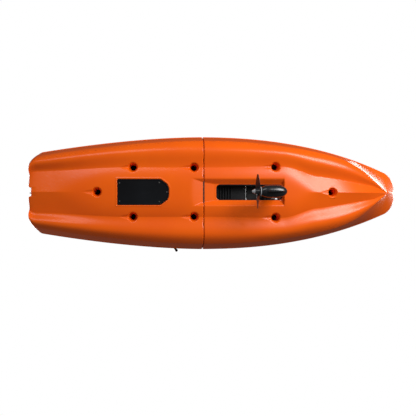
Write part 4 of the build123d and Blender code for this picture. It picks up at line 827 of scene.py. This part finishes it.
def swollen(piece, cap):
    """Fills a remeshed bag: pressure swells the cloth for 20 frames, and no point ends further than cap from its
    start."""
    start = vertex_places(piece.data)
    cloth = piece.modifiers.new("fill", "CLOTH")
    cloth.settings.quality = 4
    cloth.settings.use_pressure = True
    cloth.settings.uniform_pressure_force = 4.0
    cloth.settings.effector_weights.gravity = 0.0
    cloth.collision_settings.use_collision = False
    for frame_number in range(1, 21):
        bpy.context.scene.frame_set(frame_number)
    shape = piece.evaluated_get(bpy.context.evaluated_depsgraph_get())
    move = vertex_places(shape.data) - start
    length = np.linalg.norm(move, axis=1, keepdims=True)
    move *= np.minimum(1, cap / np.maximum(length, 1e-9))
    piece.modifiers.remove(cloth)
    bpy.context.scene.frame_set(1)
    piece.data.vertices.foreach_set("co", (start + move).ravel())


def tube(name, path, radius, closed, around=12):
    """A round tube along a line of points, with a UV map that runs in metres along it and once round it. Its section
    lies square to the line, on a frame made from the line's direction and the upright."""
    path = np.asarray(path, float)
    way = np.gradient(path, axis=0)
    if closed:
        way = np.roll(path, -1, axis=0) - np.roll(path, 1, axis=0)
    way /= np.linalg.norm(way, axis=1, keepdims=True)
    side = np.cross(way, (0.13, 0.07, 0.99))
    side /= np.linalg.norm(side, axis=1, keepdims=True)
    up = np.cross(side, way)
    turn = np.linspace(0, 2 * np.pi, around, endpoint=False)
    points = (path[:, None] + radius * (np.cos(turn)[None, :, None] * side[:, None]
                                        + np.sin(turn)[None, :, None] * up[:, None])).reshape(-1, 3)
    faces = lattice_faces(len(path), around, True).tolist()
    if closed:
        last = (len(path) - 1) * around + np.arange(around)
        first = np.arange(around)
        faces += np.stack([last, first, np.roll(first, -1), np.roll(last, -1)], axis=1).tolist()
    else:
        faces += [list(range(around)), [(len(path) - 1) * around + i for i in range(around)][::-1]]
    piece = finished_mesh(name, points, faces, 60)
    run = np.concatenate([[0], np.cumsum(np.linalg.norm(np.diff(path, axis=0), axis=1))])
    corners = np.zeros(len(piece.data.loops), int)
    piece.data.loops.foreach_get("vertex_index", corners)
    uv = piece.data.uv_layers.new(name="run")
    uv.data.foreach_set("uv", np.column_stack([run[corners // around], (corners % around) / around]).ravel())
    return piece


for name, (body, u_way, v_way, n_way, half, gap) in CUSHIONS.items():
    low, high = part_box(name)
    centre = np.array((low + high) / 2)
    ways = np.array([u_way, v_way, n_way])
    points, faces = bag_form(half)
    bag = finished_mesh(name.replace("cushion", "pad"), centre + points @ ways, faces, 60)
    cells = bag.modifiers.new("cells", "REMESH")
    cells.mode = "VOXEL"
    cells.voxel_size = VOXEL
    bag.data = bpy.data.meshes.new_from_object(bag.evaluated_get(bpy.context.evaluated_depsgraph_get()))
    bag.modifiers.clear()
    swollen(bag, SWELL_CAP)
    finer = bag.modifiers.new("finer", "SUBSURF")
    finer.levels = finer.render_levels = 1
    bag.data = bpy.data.meshes.new_from_object(bag.evaluated_get(bpy.context.evaluated_depsgraph_get()))
    bag.modifiers.clear()
    # The sewn channels: lines of stitching across the pad draw both faces in, and a second seam runs round inside its
    # edge.
    local = (vertex_places(bag.data) - centre) @ ways.T
    across = np.abs((local[:, 0] + gap / 2) / gap - np.round((local[:, 0] + gap / 2) / gap)) * gap
    inner = (1 - ease(np.abs(local[:, 1]), half[1] - 0.026, half[1] - 0.018)) * (
        1 - ease(np.abs(local[:, 0]), half[0] - 0.026, half[0] - 0.018))
    edge_gap = np.minimum(half[0] - 0.020 - np.abs(local[:, 0]), half[1] - 0.020 - np.abs(local[:, 1]))
    sewn = np.maximum(np.exp(-(across / 0.0042) ** 2) * inner, 0.8 * np.exp(-(edge_gap / 0.004) ** 2))
    local[:, 2] -= np.sign(local[:, 2]) * 0.0042 * sewn * ease(np.abs(local[:, 2]), 0.002, 0.009)
    bag.data.vertices.foreach_set("co", (centre + local @ ways).ravel())
    bag.data.materials.clear()
    bag.data.materials.append(finishes["fabric"])
    bag.data.polygons.foreach_set("use_smooth", np.ones(len(bag.data.polygons), bool))
    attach(bag, body)
    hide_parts(name)
    # The corded seam follows the pad's widest outline, found as the furthest point in each of many directions.
    belt = local[np.abs(local[:, 2]) < 0.004]
    turn = np.arctan2(belt[:, 1] / half[1], belt[:, 0] / half[0])
    bins = ((turn + np.pi) / (2 * np.pi) * BELT_BINS).astype(int) % BELT_BINS
    size = np.hypot(belt[:, 0] / half[0], belt[:, 1] / half[1])
    widest = np.zeros(BELT_BINS)
    np.maximum.at(widest, bins, size)
    widest = np.maximum(widest, 0.5 * (np.roll(widest, 1) + np.roll(widest, -1)))
    angle = (np.arange(BELT_BINS) + 0.5) / BELT_BINS * 2 * np.pi - np.pi
    line = np.column_stack([half[0] * widest * np.cos(angle), half[1] * widest * np.sin(angle), np.zeros(BELT_BINS)])
    line = (np.roll(line, 1, axis=0) + 2 * line + np.roll(line, -1, axis=0)) / 4
    piping = tube(name.replace("cushion", "piping"), centre + line @ ways, PIPING_RADIUS, True)
    piping.data.materials.append(finishes["fabric"])
    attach(piping, body)

# ------------------------------------------------------------ the tank well's two bungee cords
# Elastic cords in a braided black sleeve with a fleck thread zigzag over the tank well, held tight by six moulded eyes.


def braid_effect():
    """A braided sleeve: strands cross in two spirals along the cord's own UV map, and a paler thread winds slowly
    round it. Each is the sine of a sum of the distance along and the turn round."""
    tree, given, out = effect_group("braided_sleeve", {"Colour": "Color", "Fleck": "Color"},
                                    {"Colour": "Color", "Roughness": "Float", "Normal": "Vector"})
    uv = place(tree, "SeparateXYZ", {0: place(tree, "UVMap", uv_map="run").outputs["UV"]})
    spirals = []
    for turns, run in ((6.0, 1500.0), (-6.0, 1500.0), (1.0, 400.0)):
        around = combined(tree, "MULTIPLY", uv.outputs["Y"], turns * 2 * np.pi)
        spirals.append(combined(tree, "SINE", combined(tree, "MULTIPLY_ADD", uv.outputs["X"], run, around)))
    strands = combined(tree, "MAXIMUM", spirals[0], spirals[1])
    thread = spread(tree, spirals[2], 0.82, 0.9)
    colour = mixed(tree, thread, given.outputs["Colour"], given.outputs["Fleck"])
    # Painted shade: where the strands dip apart, the colour, fleck thread included, is drawn up to 60% towards near
    # black.
    colour = mixed(tree, spread(tree, strands, -0.4, 0.4, 0.6, 0.0), colour, (0.004, 0.004, 0.004, 1))
    bump = place(tree, "Bump", {"Strength": 0.6, "Distance": 0.0006, "Height": strands})
    put_out(tree, out, colour, spread(tree, strands, -1, 1, 0.85, 0.6), bump.outputs[0])
    return tree


sleeve = finish("braided_sleeve", braid_effect(), {
    "Colour": (0.016, 0.016, 0.018, 1), "Fleck": (0.75, 0.16, 0.02, 1)})
HOOKS, HOOK_INSET, BUNGEE_RADIUS, BUNGEE_AROUND = (-1.120, -0.830, -0.540), 0.138, 0.003, 14
for name, hand, z in (("port", 1, 0.306), ("starboard", -1, 0.3126)):
    corners = [np.array((x, turn * hand * (gunwale_half(1000 * x) / 1000 - HOOK_INSET), z))
               for x, turn in zip(HOOKS, (1, -1, 1))]
    legs = [np.linspace(a, b, 60, endpoint=False) for a, b in zip(corners[:-1], corners[1:])]
    line = np.concatenate(legs + [corners[-1][None]])
    for _ in range(6):
        line[1:-1] = (line[:-2] + 2 * line[1:-1] + line[2:]) / 4
    bungee = tube("bungee_" + name, line, BUNGEE_RADIUS, False, BUNGEE_AROUND)
    bungee.data.materials.append(sleeve)
    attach(bungee, "hull")
    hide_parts("tank_bungees")
